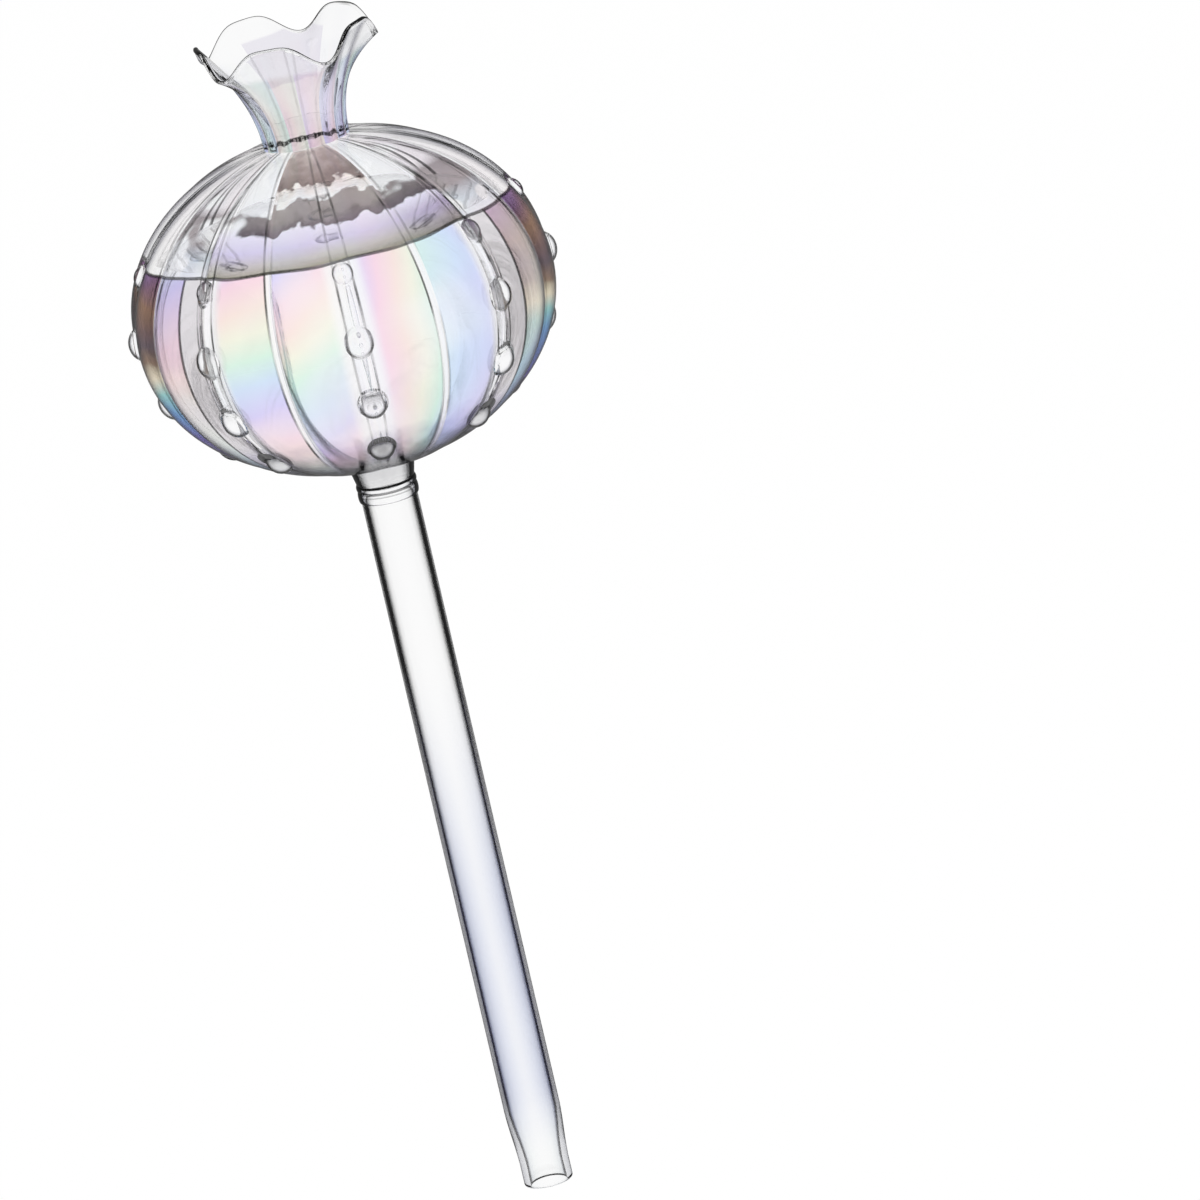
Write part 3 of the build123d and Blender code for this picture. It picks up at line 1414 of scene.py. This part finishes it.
@dataclass
class Fluting:
    """Convex panels round the bulb, with a low rib in every second groove."""

    radius: float = JOINS.bulb_radius
    rib_groove: float = 1.6
    plain_groove: float = 0.8
    rib_crown: float = 0.5
    panels: int = JOINS.panels
    rib_steps: int = 3
    panel_steps: int = 14
    crowding: float = 0.55

    def __post_init__(self) -> None:
        """Work out the circles that the panels and ribs follow."""
        self.panel_angle = FULL_TURN / self.panels
        self.rib_edge = JOINS.rib_edge
        crest = self.point(self.radius, (self.panel_angle + self.rib_edge) / 2)
        deep = self.radius - self.rib_groove
        plain = self.radius - self.plain_groove
        edge = self.point(deep, self.rib_edge)
        crown = self.point(deep + self.rib_crown, 0)
        self.panel_circle = self.circle(edge, crest, self.point(plain, self.panel_angle))
        self.rib_circle = self.circle(self.point(deep, -self.rib_edge), crown, edge)

    @staticmethod
    def point(radius: float, angle: float) -> Vector:
        """Return a point in the plane across the axis."""
        return Vector((radius * math.cos(angle), radius * math.sin(angle)))

    @staticmethod
    def circle(first: Vector, second: Vector, third: Vector) -> tuple[Vector, float]:
        """Find the circle through three points.

        Args:
            first: One point.
            second: The next one.
            third: The last one.

        Returns:
            Its centre and radius.
        """
        ground = first.length_squared
        rows = Matrix((second - first, third - first))
        halves = Vector((second.length_squared - ground, third.length_squared - ground)) / 2
        centre = rows.inverted() @ halves
        return centre, (first - centre).length

    def share(self, angle: float) -> float:
        """Find how far the outline reaches at an angle from the front.

        Args:
            angle: The angle.

        Returns:
            The reach as a share of the bulb's radius.
        """
        place = abs((angle + self.panel_angle) % (2 * self.panel_angle) - self.panel_angle)
        centre, radius = self.rib_circle if place < self.rib_edge else self.panel_circle
        along = self.point(1, place).dot(centre)
        return (along + math.sqrt(along * along - centre.length_squared + radius * radius)) / self.radius

    @property
    def steps(self) -> int:
        """Steps of a full turn."""
        return self.panels * (self.rib_steps + self.panel_steps)

    def angle(self, step: int) -> float:
        """Find the angle of a step from the front, crowded towards the grooves.

        Args:
            step: The step's number.

        Returns:
            Its angle.
        """
        each = self.rib_steps + self.panel_steps
        sector, local = divmod(step, 2 * each)
        mirrored = local > each
        local = 2 * each - local if mirrored else local
        if local <= self.rib_steps:
            place = self.rib_edge * local / self.rib_steps
        else:
            share = (local - self.rib_steps) / self.panel_steps
            eased = share - self.crowding * math.sin(FULL_TURN * share) / FULL_TURN
            place = self.rib_edge + (self.panel_angle - self.rib_edge) * eased
        place = 2 * self.panel_angle - place if mirrored else place
        return sector * 2 * self.panel_angle + place

    def step(self, corner: bmesh.types.BMVert) -> int:
        """Find the step on which a corner of a spun mesh lies.

        Args:
            corner: The corner.

        Returns:
            The step's number.
        """
        turn = (math.atan2(corner.co.y, corner.co.x) - FRONT) % FULL_TURN
        return round(turn / FULL_TURN * self.steps) % self.steps


@dataclass
class Bulb:
    """Hollow bulb of blown glass with its nozzle."""

    fluting: Fluting
    equator: float = JOINS.equator
    wall: float = 1.6
    nozzle_base: float = JOINS.nozzle_base
    nozzle_top: float = JOINS.bulb_base
    nozzle_radius: float = JOINS.ring_radius
    nozzle_root: float = 7.2
    bore: float = JOINS.bore
    neck_radius: float = JOINS.neck_radius
    throat_radius: float = JOINS.throat_radius
    seam: float = JOINS.seam
    throat_slack: float = 0.001
    seam_slack: float = 0.1
    level_normal: float = 0.99
    arc_steps: int = 34
    nozzle_steps: int = 5
    bore_steps: int = 3

    def __post_init__(self) -> None:
        """Work out the meridian's ends and half axes."""
        self.low_angle = math.acos(self.nozzle_root / self.fluting.radius)
        self.top_angle = math.acos(self.neck_radius / self.fluting.radius)
        self.low_axis = JOINS.lower_depth / math.sin(self.low_angle)
        self.top_axis = JOINS.upper_rise / math.sin(self.top_angle)
        self.top = JOINS.shoulder_top

    def meridian(self, wall: float) -> Profile:
        """Follow the meridian from the nozzle's root to the neck.

        Args:
            wall: How deep in the wall it runs.

        Returns:
            Its points.
        """
        radius = self.fluting.radius - wall
        centre = (0.0, self.equator)
        low = arc(centre, (radius, self.low_axis - wall), -self.low_angle, 0, self.arc_steps)
        high = arc(centre, (radius, self.top_axis - wall), 0, self.top_angle, self.arc_steps)
        rise = (self.top_axis - wall) * math.sin(self.top_angle)
        return low + high + [(radius * math.cos(self.top_angle), self.equator + rise)]

    def fade(self, height: float) -> float:
        """Return the share of the fluting at a height, which dies out down the nozzle."""
        return min(1.0, max(0.0, (height - self.nozzle_base) / (self.nozzle_top - self.nozzle_base)))

    def reach(self, angle: float, height: float) -> float:
        """Find how far the bulb's outside reaches from the axis.

        Args:
            angle: An angle from the front.
            height: A height.

        Returns:
            The radius there.
        """
        axis = self.top_axis if height > self.equator else self.low_axis
        sine = max(-1.0, min(1.0, (height - self.equator) / axis))
        return self.fluting.radius * math.sqrt(1 - sine * sine) * self.fluting.share(angle)

    def fluted(self, mesh: bmesh.types.BMesh) -> None:
        """Move the rings of a spun mesh on to the fluted outline.

        Args:
            mesh: The mesh.
        """
        for corner in mesh.verts:
            angle = self.fluting.angle(self.fluting.step(corner))
            radius = math.hypot(corner.co.x, corner.co.y)
            share = 1 - (1 - self.fluting.share(angle)) * self.fade(corner.co.z / MM)
            if radius < (self.throat_radius + self.throat_slack) * MM:
                share = 1.0
            corner.co.x = radius * share * math.cos(FRONT + angle)
            corner.co.y = radius * share * math.sin(FRONT + angle)

    def shell(self) -> bpy.types.Object:
        """Build the bulb's wall.

        Returns:
            The piece.
        """
        root = (self.nozzle_root, self.nozzle_top)
        outside = straight((self.nozzle_radius, self.nozzle_base), root, self.nozzle_steps)
        outside += self.meridian(0)
        outside[-1] = (self.neck_radius, self.top - self.seam)
        inside = self.meridian(self.wall)[::-1]
        foot = (self.bore, self.nozzle_base)
        drain = straight((self.bore, self.nozzle_top), foot, self.bore_steps)
        profile = outside + [(self.throat_radius, self.top - self.seam)] + inside + drain + [foot]
        mesh = spun(profile, self.fluting.steps)
        self.fluted(mesh)
        self.side(mesh)
        piece = finished("bulb_shell_glass", mesh, [BULB_FILM, INNER_WALL, SEAM])
        put_on(piece, ["bulb_shell"])
        return piece

    def side(self, mesh: bmesh.types.BMesh) -> None:
        """Mark each face as outside, inside or seam.

        Args:
            mesh: The mesh.
        """
        mesh.normal_update()
        for face in mesh.faces:
            middle = face.calc_center_median()
            outward = Vector((middle.x, middle.y, middle.z - self.equator * MM)).dot(face.normal) > 0
            level = face.normal.z > self.level_normal and middle.z > (self.top - self.seam_slack) * MM
            cone = not outward and middle.z > (self.top - self.wall) * MM
            skin = Skin.OUTSIDE if outward else Skin.INSIDE
            face.material_index = (Skin.SEAM if level or cone else skin).value


@dataclass
class Beads:
    """Drops of glass laid on the deep grooves."""

    bulb: Bulb
    half_width: float = 3.2
    half_length: float = 3.8
    sink: float = 1.3
    first_angle: float = 24.4
    step_angle: float = 23.7
    sizes: tuple[float, ...] = (0.72, 1.0, 1.0, 0.92)
    rows: int = JOINS.panels // 2
    rest: float = 0.03
    segments_round: int = 40
    segments_up: int = 24

    def drop(self, mesh: bmesh.types.BMesh, level: int, turn: float) -> list[bmesh.types.BMVert]:
        """Add one drop on a groove.

        Args:
            mesh: The row's mesh, in millimetres.
            level: The drop's number, from the top.
            turn: The groove's angle from the front.

        Returns:
            The drop's corners.
        """
        angle = math.radians(self.first_angle - level * self.step_angle)
        bulb = self.bulb
        axis = bulb.top_axis if angle > 0 else bulb.low_axis
        size = self.sizes[level]
        flutes = bulb.fluting
        crown = flutes.radius - flutes.rib_groove + flutes.rib_crown
        out = Vector((0, -math.cos(angle) / flutes.radius, math.sin(angle) / axis)).normalized()
        seat = Vector((0, -crown * math.cos(angle), bulb.equator + axis * math.sin(angle)))
        side = Vector((1, 0, 0))
        place = Matrix((side, out.cross(side), out)).transposed().to_4x4()
        place.translation = seat - out * self.sink * size
        wide, long = self.half_width * size, self.half_length * size
        made = bmesh.ops.create_uvsphere(
            mesh,
            u_segments=self.segments_round,
            v_segments=self.segments_up,
            radius=1,
            matrix=Matrix.Rotation(turn, 4, "Z") @ place @ Matrix.Diagonal((wide, long, wide, 1)),
        )
        for corner in made["verts"]:
            self.rested(corner)
        return made["verts"]

    def rested(self, corner: bmesh.types.BMVert) -> None:
        """Move a corner that lies inside the bulb out on to it.

        Args:
            corner: The corner.
        """
        radius = math.hypot(corner.co.x, corner.co.y)
        around = math.atan2(corner.co.y, corner.co.x) - FRONT
        floor = self.bulb.reach(around, corner.co.z) + self.rest
        if radius < floor:
            corner.co.x *= floor / radius
            corner.co.y *= floor / radius

    def row(self, number: int) -> bpy.types.Object:
        """Build the drops of one groove.

        Args:
            number: The groove's number from the front.

        Returns:
            The piece.
        """
        mesh = bmesh.new()
        for level in range(len(self.sizes)):
            lowest = level == len(self.sizes) - 1
            for corner in self.drop(mesh, level, FULL_TURN * number / self.rows):
                for face in corner.link_faces:
                    face.material_index = int(lowest)
        bmesh.ops.scale(mesh, vec=(MM, MM, MM), verts=mesh.verts)
        piece = finished(f"bead_row_{number + 1}_glass", mesh, [BEAD, LOW_BEAD])
        put_on(piece, [f"bead_row_{number + 1}"])
        return piece


@dataclass
class Mouth:
    """Narrow fluted neck that flares into a ruffled mouth."""

    fluting: Fluting
    base: float = JOINS.shoulder_top
    height: float = 22.6
    foot_share: float = 0.08
    neck_radius: float = JOINS.neck_radius
    throat_radius: float = JOINS.throat_radius
    throat_length: float = 3.5
    throat_step: float = 0.15
    rim_radius: float = 19.3
    rim_wall: float = 1.1
    flare: float = 2.2
    inner_flare: float = 1.7
    flute_depth: float = 0.45
    ruffles: int = 5
    lift: float = 2.75
    pinch: float = 0.25
    stretch: float = 0.5
    ruffle_power: float = 2.2
    ruffle_turn: float = -67.5
    seam: float = JOINS.seam
    slack: float = 0.1
    level_normal: float = 0.99
    crease: float = 50.0
    rings: int = 30
    lip_steps: int = 8
    throat_steps: int = 3
    steps: int = 240

    def __post_init__(self) -> None:
        """Work out the rim's level and the throat's share of the height."""
        self.rim_height = self.height - self.rim_wall / 2
        self.throat_share = self.throat_length / self.rim_height

    def climb(self, share: float) -> float:
        """Return the part of the way from the throat's top to the rim."""
        return max(0.0, share - self.throat_share) / (1 - self.throat_share)

    def bare(self, share: float) -> float:
        """Return the outside radius at a share of the height, without flutes and ruffles."""
        return self.neck_radius + (self.rim_radius - self.neck_radius) * share**self.flare

    def profile(self) -> Profile:
        """Draw the closed section of the wall, before it is fluted and ruffled.

        Returns:
            Its points.
        """
        outer = []
        for ring in range(self.rings + 1):
            share = ring / self.rings
            outer.append((self.bare(share), self.base + self.seam + (self.rim_height - self.seam) * share))
        half = self.rim_wall / 2
        rim = self.base + self.rim_height
        lip = arc((self.rim_radius - half, rim), (half, half), 0, math.pi, self.lip_steps)[1:]
        inner = []
        foot = self.throat_radius + self.throat_step
        for ring in range(self.rings + 1):
            climb = 1 - ring / self.rings
            share = self.throat_share + (1 - self.throat_share) * climb
            radius = foot + (self.rim_radius - self.rim_wall - foot) * climb**self.inner_flare
            inner.append((radius, self.base + self.rim_height * share))
        low = (self.throat_radius, self.base + self.seam)
        throat = straight((self.throat_radius, self.base + self.throat_length), low, self.throat_steps)
        return outer + lip + inner + throat + [low]

    def ruffled(self, mesh: bmesh.types.BMesh) -> None:
        """Flute the neck's outside and lift the rim in waves.

        Args:
            mesh: The spun mesh.
        """
        for corner in mesh.verts:
            radius = math.hypot(corner.co.x, corner.co.y) / MM
            angle = math.atan2(corner.co.y, corner.co.x)
            share = min(1.0, (corner.co.z / MM - self.base) / self.rim_height)
            ruffle = self.climb(share) ** self.ruffle_power
            turn = self.ruffles * (angle - math.radians(self.ruffle_turn))
            wave = math.cos(turn) + self.pinch * math.cos(2 * turn)
            valley = math.cos(self.fluting.panels * (angle - FRONT))
            outside = radius > self.bare(share) - self.slack
            fluting = self.flute_depth * (1 - share) / 2 * (1 + valley) if outside else 0.0
            if outside and share < self.foot_share:
                met = self.neck_radius * (1 - self.fluting.share(angle - FRONT))
                fluting = met + (fluting - met) * share / self.foot_share
            reach = radius - fluting + self.stretch * ruffle * wave
            corner.co.x = reach * MM * math.cos(angle)
            corner.co.y = reach * MM * math.sin(angle)
            corner.co.z -= self.lift * MM * ruffle * wave

    def build(self) -> bpy.types.Object:
        """Build the neck and mouth.

        Returns:
            The piece.
        """
        mesh = spun(self.profile(), self.steps)
        lip = (self.base + self.rim_height) * MM
        rim = {face for face in mesh.faces if face.calc_center_median().z > lip}
        self.ruffled(mesh)
        mesh.normal_update()
        for face in mesh.faces:
            middle = face.calc_center_median()
            outward = Vector((middle.x, middle.y, 0)).dot(face.normal) > 0
            skin = Skin.OUTSIDE if outward else Skin.INSIDE
            if face.normal.z < -self.level_normal and middle.z < (self.base + self.slack) * MM:
                skin = Skin.SEAM
            face.material_index = (Skin.RIM if face in rim else skin).value
        finishes = [MOUTH_FILM, MOUTH_INSIDE, SEAM, RIM]
        piece = finished("ruffled_mouth_glass", mesh, finishes, self.crease)
        put_on(piece, ["ruffled_mouth"])
        return piece


@dataclass
class Stem:
    """Long drip tube and the seal ring above it."""

    length: float = JOINS.stem_length
    radius: float = 6.05
    bore: float = JOINS.bore
    tip_radius: float = 5.3
    tip_bore: float = 4.0
    tip_land: float = 5.0
    tip_taper: float = 11.5
    tip_lip: float = 0.5
    easing: float = 0.3
    ring_height: float = JOINS.ring_height
    ring_radius: float = JOINS.ring_radius
    roll_depth: float = 0.3
    upper_roll: float = 0.36
    seam: float = JOINS.seam
    inner_normal: float = -0.2
    taper_steps: int = 14
    lip_steps: int = 6
    roll_steps: int = 10
    steps: int = 144

    def tapered(self, narrow: float, wide: float) -> Profile:
        """Run from the tip's straight end to the full tube, eased a little at both ends.

        Args:
            narrow: The radius at the tip.
            wide: The radius of the full tube.

        Returns:
            The points, with the last one.
        """
        points = []
        for step in range(self.taper_steps + 1):
            share = step / self.taper_steps
            eased = share - self.easing * math.sin(FULL_TURN * share) / FULL_TURN
            points.append((narrow + (wide - narrow) * eased, self.tip_land + self.tip_taper * share))
        return points

    def tube(self) -> bpy.types.Object:
        """Build the drip tube.

        Returns:
            The piece.
        """
        centre = (self.tip_radius - self.tip_lip, self.tip_lip)
        lip = arc(centre, (self.tip_lip, self.tip_lip), FRONT, 0, self.lip_steps)
        outside = lip + [(self.tip_radius, self.tip_lip)] + self.tapered(self.tip_radius, self.radius)
        top = self.length - self.seam
        inside = [(self.bore, top)] + self.tapered(self.tip_bore, self.bore)[::-1]
        profile = outside + [(self.radius, top)] + inside + [(self.tip_bore, 0.0)]
        mesh = self.sided(spun(profile, self.steps))
        piece = finished("stem_tube_glass", mesh, [STEM_OUTSIDE, STEM_BORE])
        put_on(piece, ["stem_tube"])
        return piece

    def sided(self, mesh: bmesh.types.BMesh) -> bmesh.types.BMesh:
        """Mark each face of a tube as outside or inside.

        Args:
            mesh: The tube's mesh.

        Returns:
            The same mesh.
        """
        mesh.normal_update()
        for face in mesh.faces:
            middle = face.calc_center_median()
            inward = Vector((middle.x, middle.y, 0)).normalized().dot(face.normal) < self.inner_normal
            face.material_index = Skin.INSIDE.value if inward else Skin.OUTSIDE.value
        return mesh

    def ring(self) -> bpy.types.Object:
        """Build the rolled seal ring.

        Returns:
            The piece.
        """
        top = self.length + self.ring_height
        waist = top - self.ring_height * self.upper_roll
        profile: Profile = []
        for low, high in ((self.length, waist), (waist, top)):
            half = (high - low) / 2
            centre = (self.ring_radius, low + half)
            profile += arc(centre, (self.roll_depth, half), FRONT, -FRONT, self.roll_steps)
        profile[0] = (self.ring_radius, self.length)
        ceiling = top - self.seam
        profile += [(self.ring_radius, ceiling), (self.bore, ceiling), (self.bore, self.length)]
        mesh = self.sided(spun(profile, self.steps))
        piece = finished("joint_collar_glass", mesh, [RING_OUTSIDE, STEM_BORE])
        put_on(piece, ["joint_collar"])
        return piece


@dataclass
class Water:
    """Still water that half fills the bulb and its nozzle."""

    bulb: Bulb
    level: float = JOINS.water_level
    gap: float = 0.08
    foot_gap: float = 0.4
    creep: float = 0.5
    creep_width: float = 2.0
    creep_steps: int = 4
    surface_shares: tuple[float, ...] = (0.6, 0.3)
    core: float = 0.5
    core_slack: float = 0.1
    merge_distance: float = 0.001
    level_normal: float = 0.5
    crease: float = 50.0
    bore_steps: int = 3

    def profile(self) -> Profile:
        """Draw half of the water's section, with a thin core left open along the axis.

        Returns:
            Its points.
        """
        bulb = self.bulb
        wall = bulb.wall + self.gap
        side = [point for point in bulb.meridian(wall) if point[1] < self.level]
        sine = (self.level + self.creep - bulb.equator) / (bulb.top_axis - wall)
        rim = (bulb.fluting.radius - wall) * math.sqrt(1 - sine**2)
        foot = bulb.bore - self.gap
        floor = bulb.nozzle_base + self.foot_gap
        points = straight((foot, floor), (foot, bulb.nozzle_top), self.bore_steps)
        points += [(foot, bulb.nozzle_top)] + side + [(rim, self.level + self.creep)]
        for step in range(1, self.creep_steps + 1):
            share = step / self.creep_steps
            points.append((rim - self.creep_width * share, self.level + self.creep * (1 - share) ** 2))
        points += [(rim * share, self.level) for share in self.surface_shares]
        return points + [(self.core, self.level), (self.core, floor)]

    def build(self) -> bpy.types.Object:
        """Build the water's body up to its level.

        Returns:
            The piece.
        """
        mesh = spun(self.profile(), self.bulb.fluting.steps)
        reach = (self.core + self.core_slack) * MM
        core = [corner for corner in mesh.verts if math.hypot(corner.co.x, corner.co.y) < reach]
        for corner in core:
            corner.co.x = 0
            corner.co.y = 0
        bmesh.ops.remove_doubles(mesh, verts=core, dist=self.merge_distance * MM)
        loose = [edge for edge in mesh.edges if not edge.link_faces]
        bmesh.ops.delete(mesh, geom=loose, context="EDGES")
        self.fitted(mesh)
        bmesh.ops.recalc_face_normals(mesh, faces=mesh.faces)
        mesh.normal_update()
        for face in mesh.faces:
            face.material_index = int(face.normal.z > self.level_normal)
        piece = finished("water_fill", mesh, [WATER_SIDE, WATER_TOP], self.crease)
        put_on(piece, [])
        return piece

    def fitted(self, mesh: bmesh.types.BMesh) -> None:
        """Follow the bulb's inner flutes with the water's side.

        Args:
            mesh: The water's mesh.
        """
        fluting = self.bulb.fluting
        for corner in mesh.verts:
            radius = math.hypot(corner.co.x, corner.co.y)
            if radius < MM:
                continue
            angle = fluting.angle(fluting.step(corner))
            share = fluting.share(angle) if radius > self.bulb.bore * MM else 1.0
            corner.co.x = radius * share * math.cos(FRONT + angle)
            corner.co.y = radius * share * math.sin(FRONT + angle)


# Studio


@dataclass
class Studio:
    """White floor and surroundings, soft light and the camera."""

    floor_height: float = -0.25
    floor_size: float = 30.0
    paper: Colour = (0.9, 0.9, 0.9)
    glow_share: float = 0.97
    camera_distance: float = 3.0
    camera_azimuth: float = -2.19
    camera_elevation: float = 14.78
    camera_roll: float = -12.93
    camera_reach: Span = (0.1, 100.0)
    pixels_per_mm: float = 4.7055
    frame_pixels: float = 1200.0
    sensor: float = 36.0
    aim_height: float = 0.13
    aim_right: float = 0.03909
    aim_up: float = 0.00215
    lamp_place: tuple[float, float, float] = (-1.2, -1.6, 2.0)
    lamp_size: float = 1.2
    lamp_energy: float = 40.0
    mirror_tone: float = 0.15
    overhead_tone: float = 0.9
    overhead_span: Span = (0.3, 0.85)
    painted_shadow_tone: float = 0.9
    painted_shadow_span: Span = (0.1, 0.45)
    glass_bounces: int = 32
    glossy_bounces: int = 12
    clear_bounces: int = 16

    def strength(self, sheet: ShaderSheet, tone: Signal) -> Signal:
        """Work out how strongly the white shows.

        Args:
            sheet: The node sheet.
            tone: What shines through the glass.

        Returns:
            Full strength for the camera, the tone for what shines through, and less for what is mirrored.
        """
        seen, mirrored, through = sheet.rays()
        share = sheet.span(mirrored * (1.0 - through), 0.0, 1.0, 1.0, self.mirror_tone)
        return sheet.math("MAXIMUM", seen, tone * share)

    def paper_material(self) -> bpy.types.Material:
        """Make the floor's paper, which the camera sees as white and the lamp lights; the glass sees it
        white but for a painted shadow round the axis.

        Returns:
            The material.
        """
        paper = bpy.data.materials.new("white_paper")
        paper.use_nodes = True
        paper.node_tree.nodes.clear()
        sheet = ShaderSheet(paper.node_tree)
        matt = sheet.node("ShaderNodeBsdfDiffuse")
        matt.inputs["Color"].default_value = rgba(self.paper)
        glow = sheet.node("ShaderNodeEmission")
        far = sheet.vector("LENGTH", sheet.coordinates())
        # Painted shadow: the glow is dimmer near the axis, under the globe, where the glass sees the
        # floor.
        under = sheet.span(far, *self.painted_shadow_span, self.painted_shadow_tone, 1.0)
        sheet.feed(self.strength(sheet, under), glow.inputs["Strength"])
        seen, mirrored, through = sheet.rays()
        seen = sheet.math("MAXIMUM", sheet.math("MAXIMUM", seen, mirrored), through)
        mix = sheet.node("ShaderNodeMixShader")
        sheet.feed(seen * self.glow_share, mix.inputs[0])
        sheet.feed(Signal(sheet, matt.outputs[0]), mix.inputs[1])
        sheet.feed(Signal(sheet, glow.outputs[0]), mix.inputs[2])
        sheet.show(mix.outputs[0])
        return paper

    def floor(self) -> bpy.types.Object:
        """Lay the white floor.

        Returns:
            The floor.
        """
        mesh = bmesh.new()
        bmesh.ops.create_grid(mesh, x_segments=1, y_segments=1, size=self.floor_size / 2)
        data = bpy.data.meshes.new("floor")
        mesh.to_mesh(data)
        mesh.free()
        data.materials.append(self.paper_material())
        piece = bpy.data.objects.new("floor", data)
        piece.location.z = self.floor_height
        bpy.context.scene.collection.objects.link(piece)
        return piece

    def surroundings(self) -> None:
        """Light the studio from all round, white to the eye and a little greyer overhead."""
        world = bpy.data.worlds.new("studio")
        bpy.context.scene.world = world
        world.use_nodes = True
        world.node_tree.nodes.clear()
        sheet = ShaderSheet(world.node_tree)
        _, _, up = sheet.split(sheet.coordinates("Generated"))
        overhead = sheet.span(up, *self.overhead_span, 1.0, self.overhead_tone)
        glow = sheet.node("ShaderNodeBackground")
        glow.inputs["Color"].default_value = rgba(WHITE)
        sheet.feed(self.strength(sheet, overhead), glow.inputs["Strength"])
        sheet.show(glow.outputs[0], "ShaderNodeOutputWorld")

    def lamp(self) -> None:
        """Hang one soft square lamp that faces the bulb and that no glass mirrors."""
        light = bpy.data.lights.new("key", "AREA")
        light.size = self.lamp_size
        light.energy = self.lamp_energy
        lamp = bpy.data.objects.new("key", light)
        bpy.context.scene.collection.objects.link(lamp)
        place = Vector(self.lamp_place)
        lamp.location = place
        lamp.visible_glossy = False
        lamp.visible_transmission = False
        beam = Vector((0, 0, JOINS.equator * MM)) - place
        lamp.rotation_euler = beam.to_track_quat("-Z", "Y").to_euler()

    def camera(self) -> None:
        """Set the camera at the photograph's viewing angle."""
        azimuth = math.radians(self.camera_azimuth)
        elevation = math.radians(self.camera_elevation)
        roll = math.radians(self.camera_roll)
        flat = math.cos(elevation)
        out = Vector((math.sin(azimuth) * flat, -math.cos(azimuth) * flat, math.sin(elevation)))
        level = Vector((math.cos(azimuth), math.sin(azimuth), 0))
        rise = out.cross(level)
        right = math.cos(roll) * level + math.sin(roll) * rise
        up = math.cos(roll) * rise - math.sin(roll) * level
        aim = Vector((0, 0, self.aim_height)) + right * self.aim_right + up * self.aim_up
        place = Matrix((right, up, out)).transposed().to_4x4()
        place.translation = aim + out * self.camera_distance
        data = bpy.data.cameras.new("camera")
        data.sensor_width = self.sensor
        data.lens = self.pixels_per_mm * self.camera_distance / MM * self.sensor / self.frame_pixels
        data.clip_start, data.clip_end = self.camera_reach
        camera = bpy.data.objects.new("camera", data)
        bpy.context.scene.collection.objects.link(camera)
        camera.matrix_world = place
        bpy.context.scene.camera = camera

    def set_up(self) -> None:
        """Build the whole studio and the light paths that layered glass needs."""
        self.floor()
        self.surroundings()
        self.lamp()
        self.camera()
        scene = bpy.context.scene
        scene.view_settings.view_transform = "Standard"
        scene.cycles.max_bounces = self.glass_bounces
        scene.cycles.transmission_bounces = self.glass_bounces
        scene.cycles.glossy_bounces = self.glossy_bounces
        scene.cycles.transparent_max_bounces = self.clear_bounces


def main() -> None:
    """Build the globe's pieces in order, then the studio."""
    logging.basicConfig(level=logging.INFO, format="%(name)s %(message)s")
    bulb = Bulb(Fluting())
    bulb.shell()
    beads = Beads(bulb)
    for number in range(beads.rows):
        beads.row(number)
    Mouth(bulb.fluting).build()
    stem = Stem()
    stem.tube()
    stem.ring()
    Water(bulb).build()
    Studio().set_up()


if __name__ == "__main__":
    main()
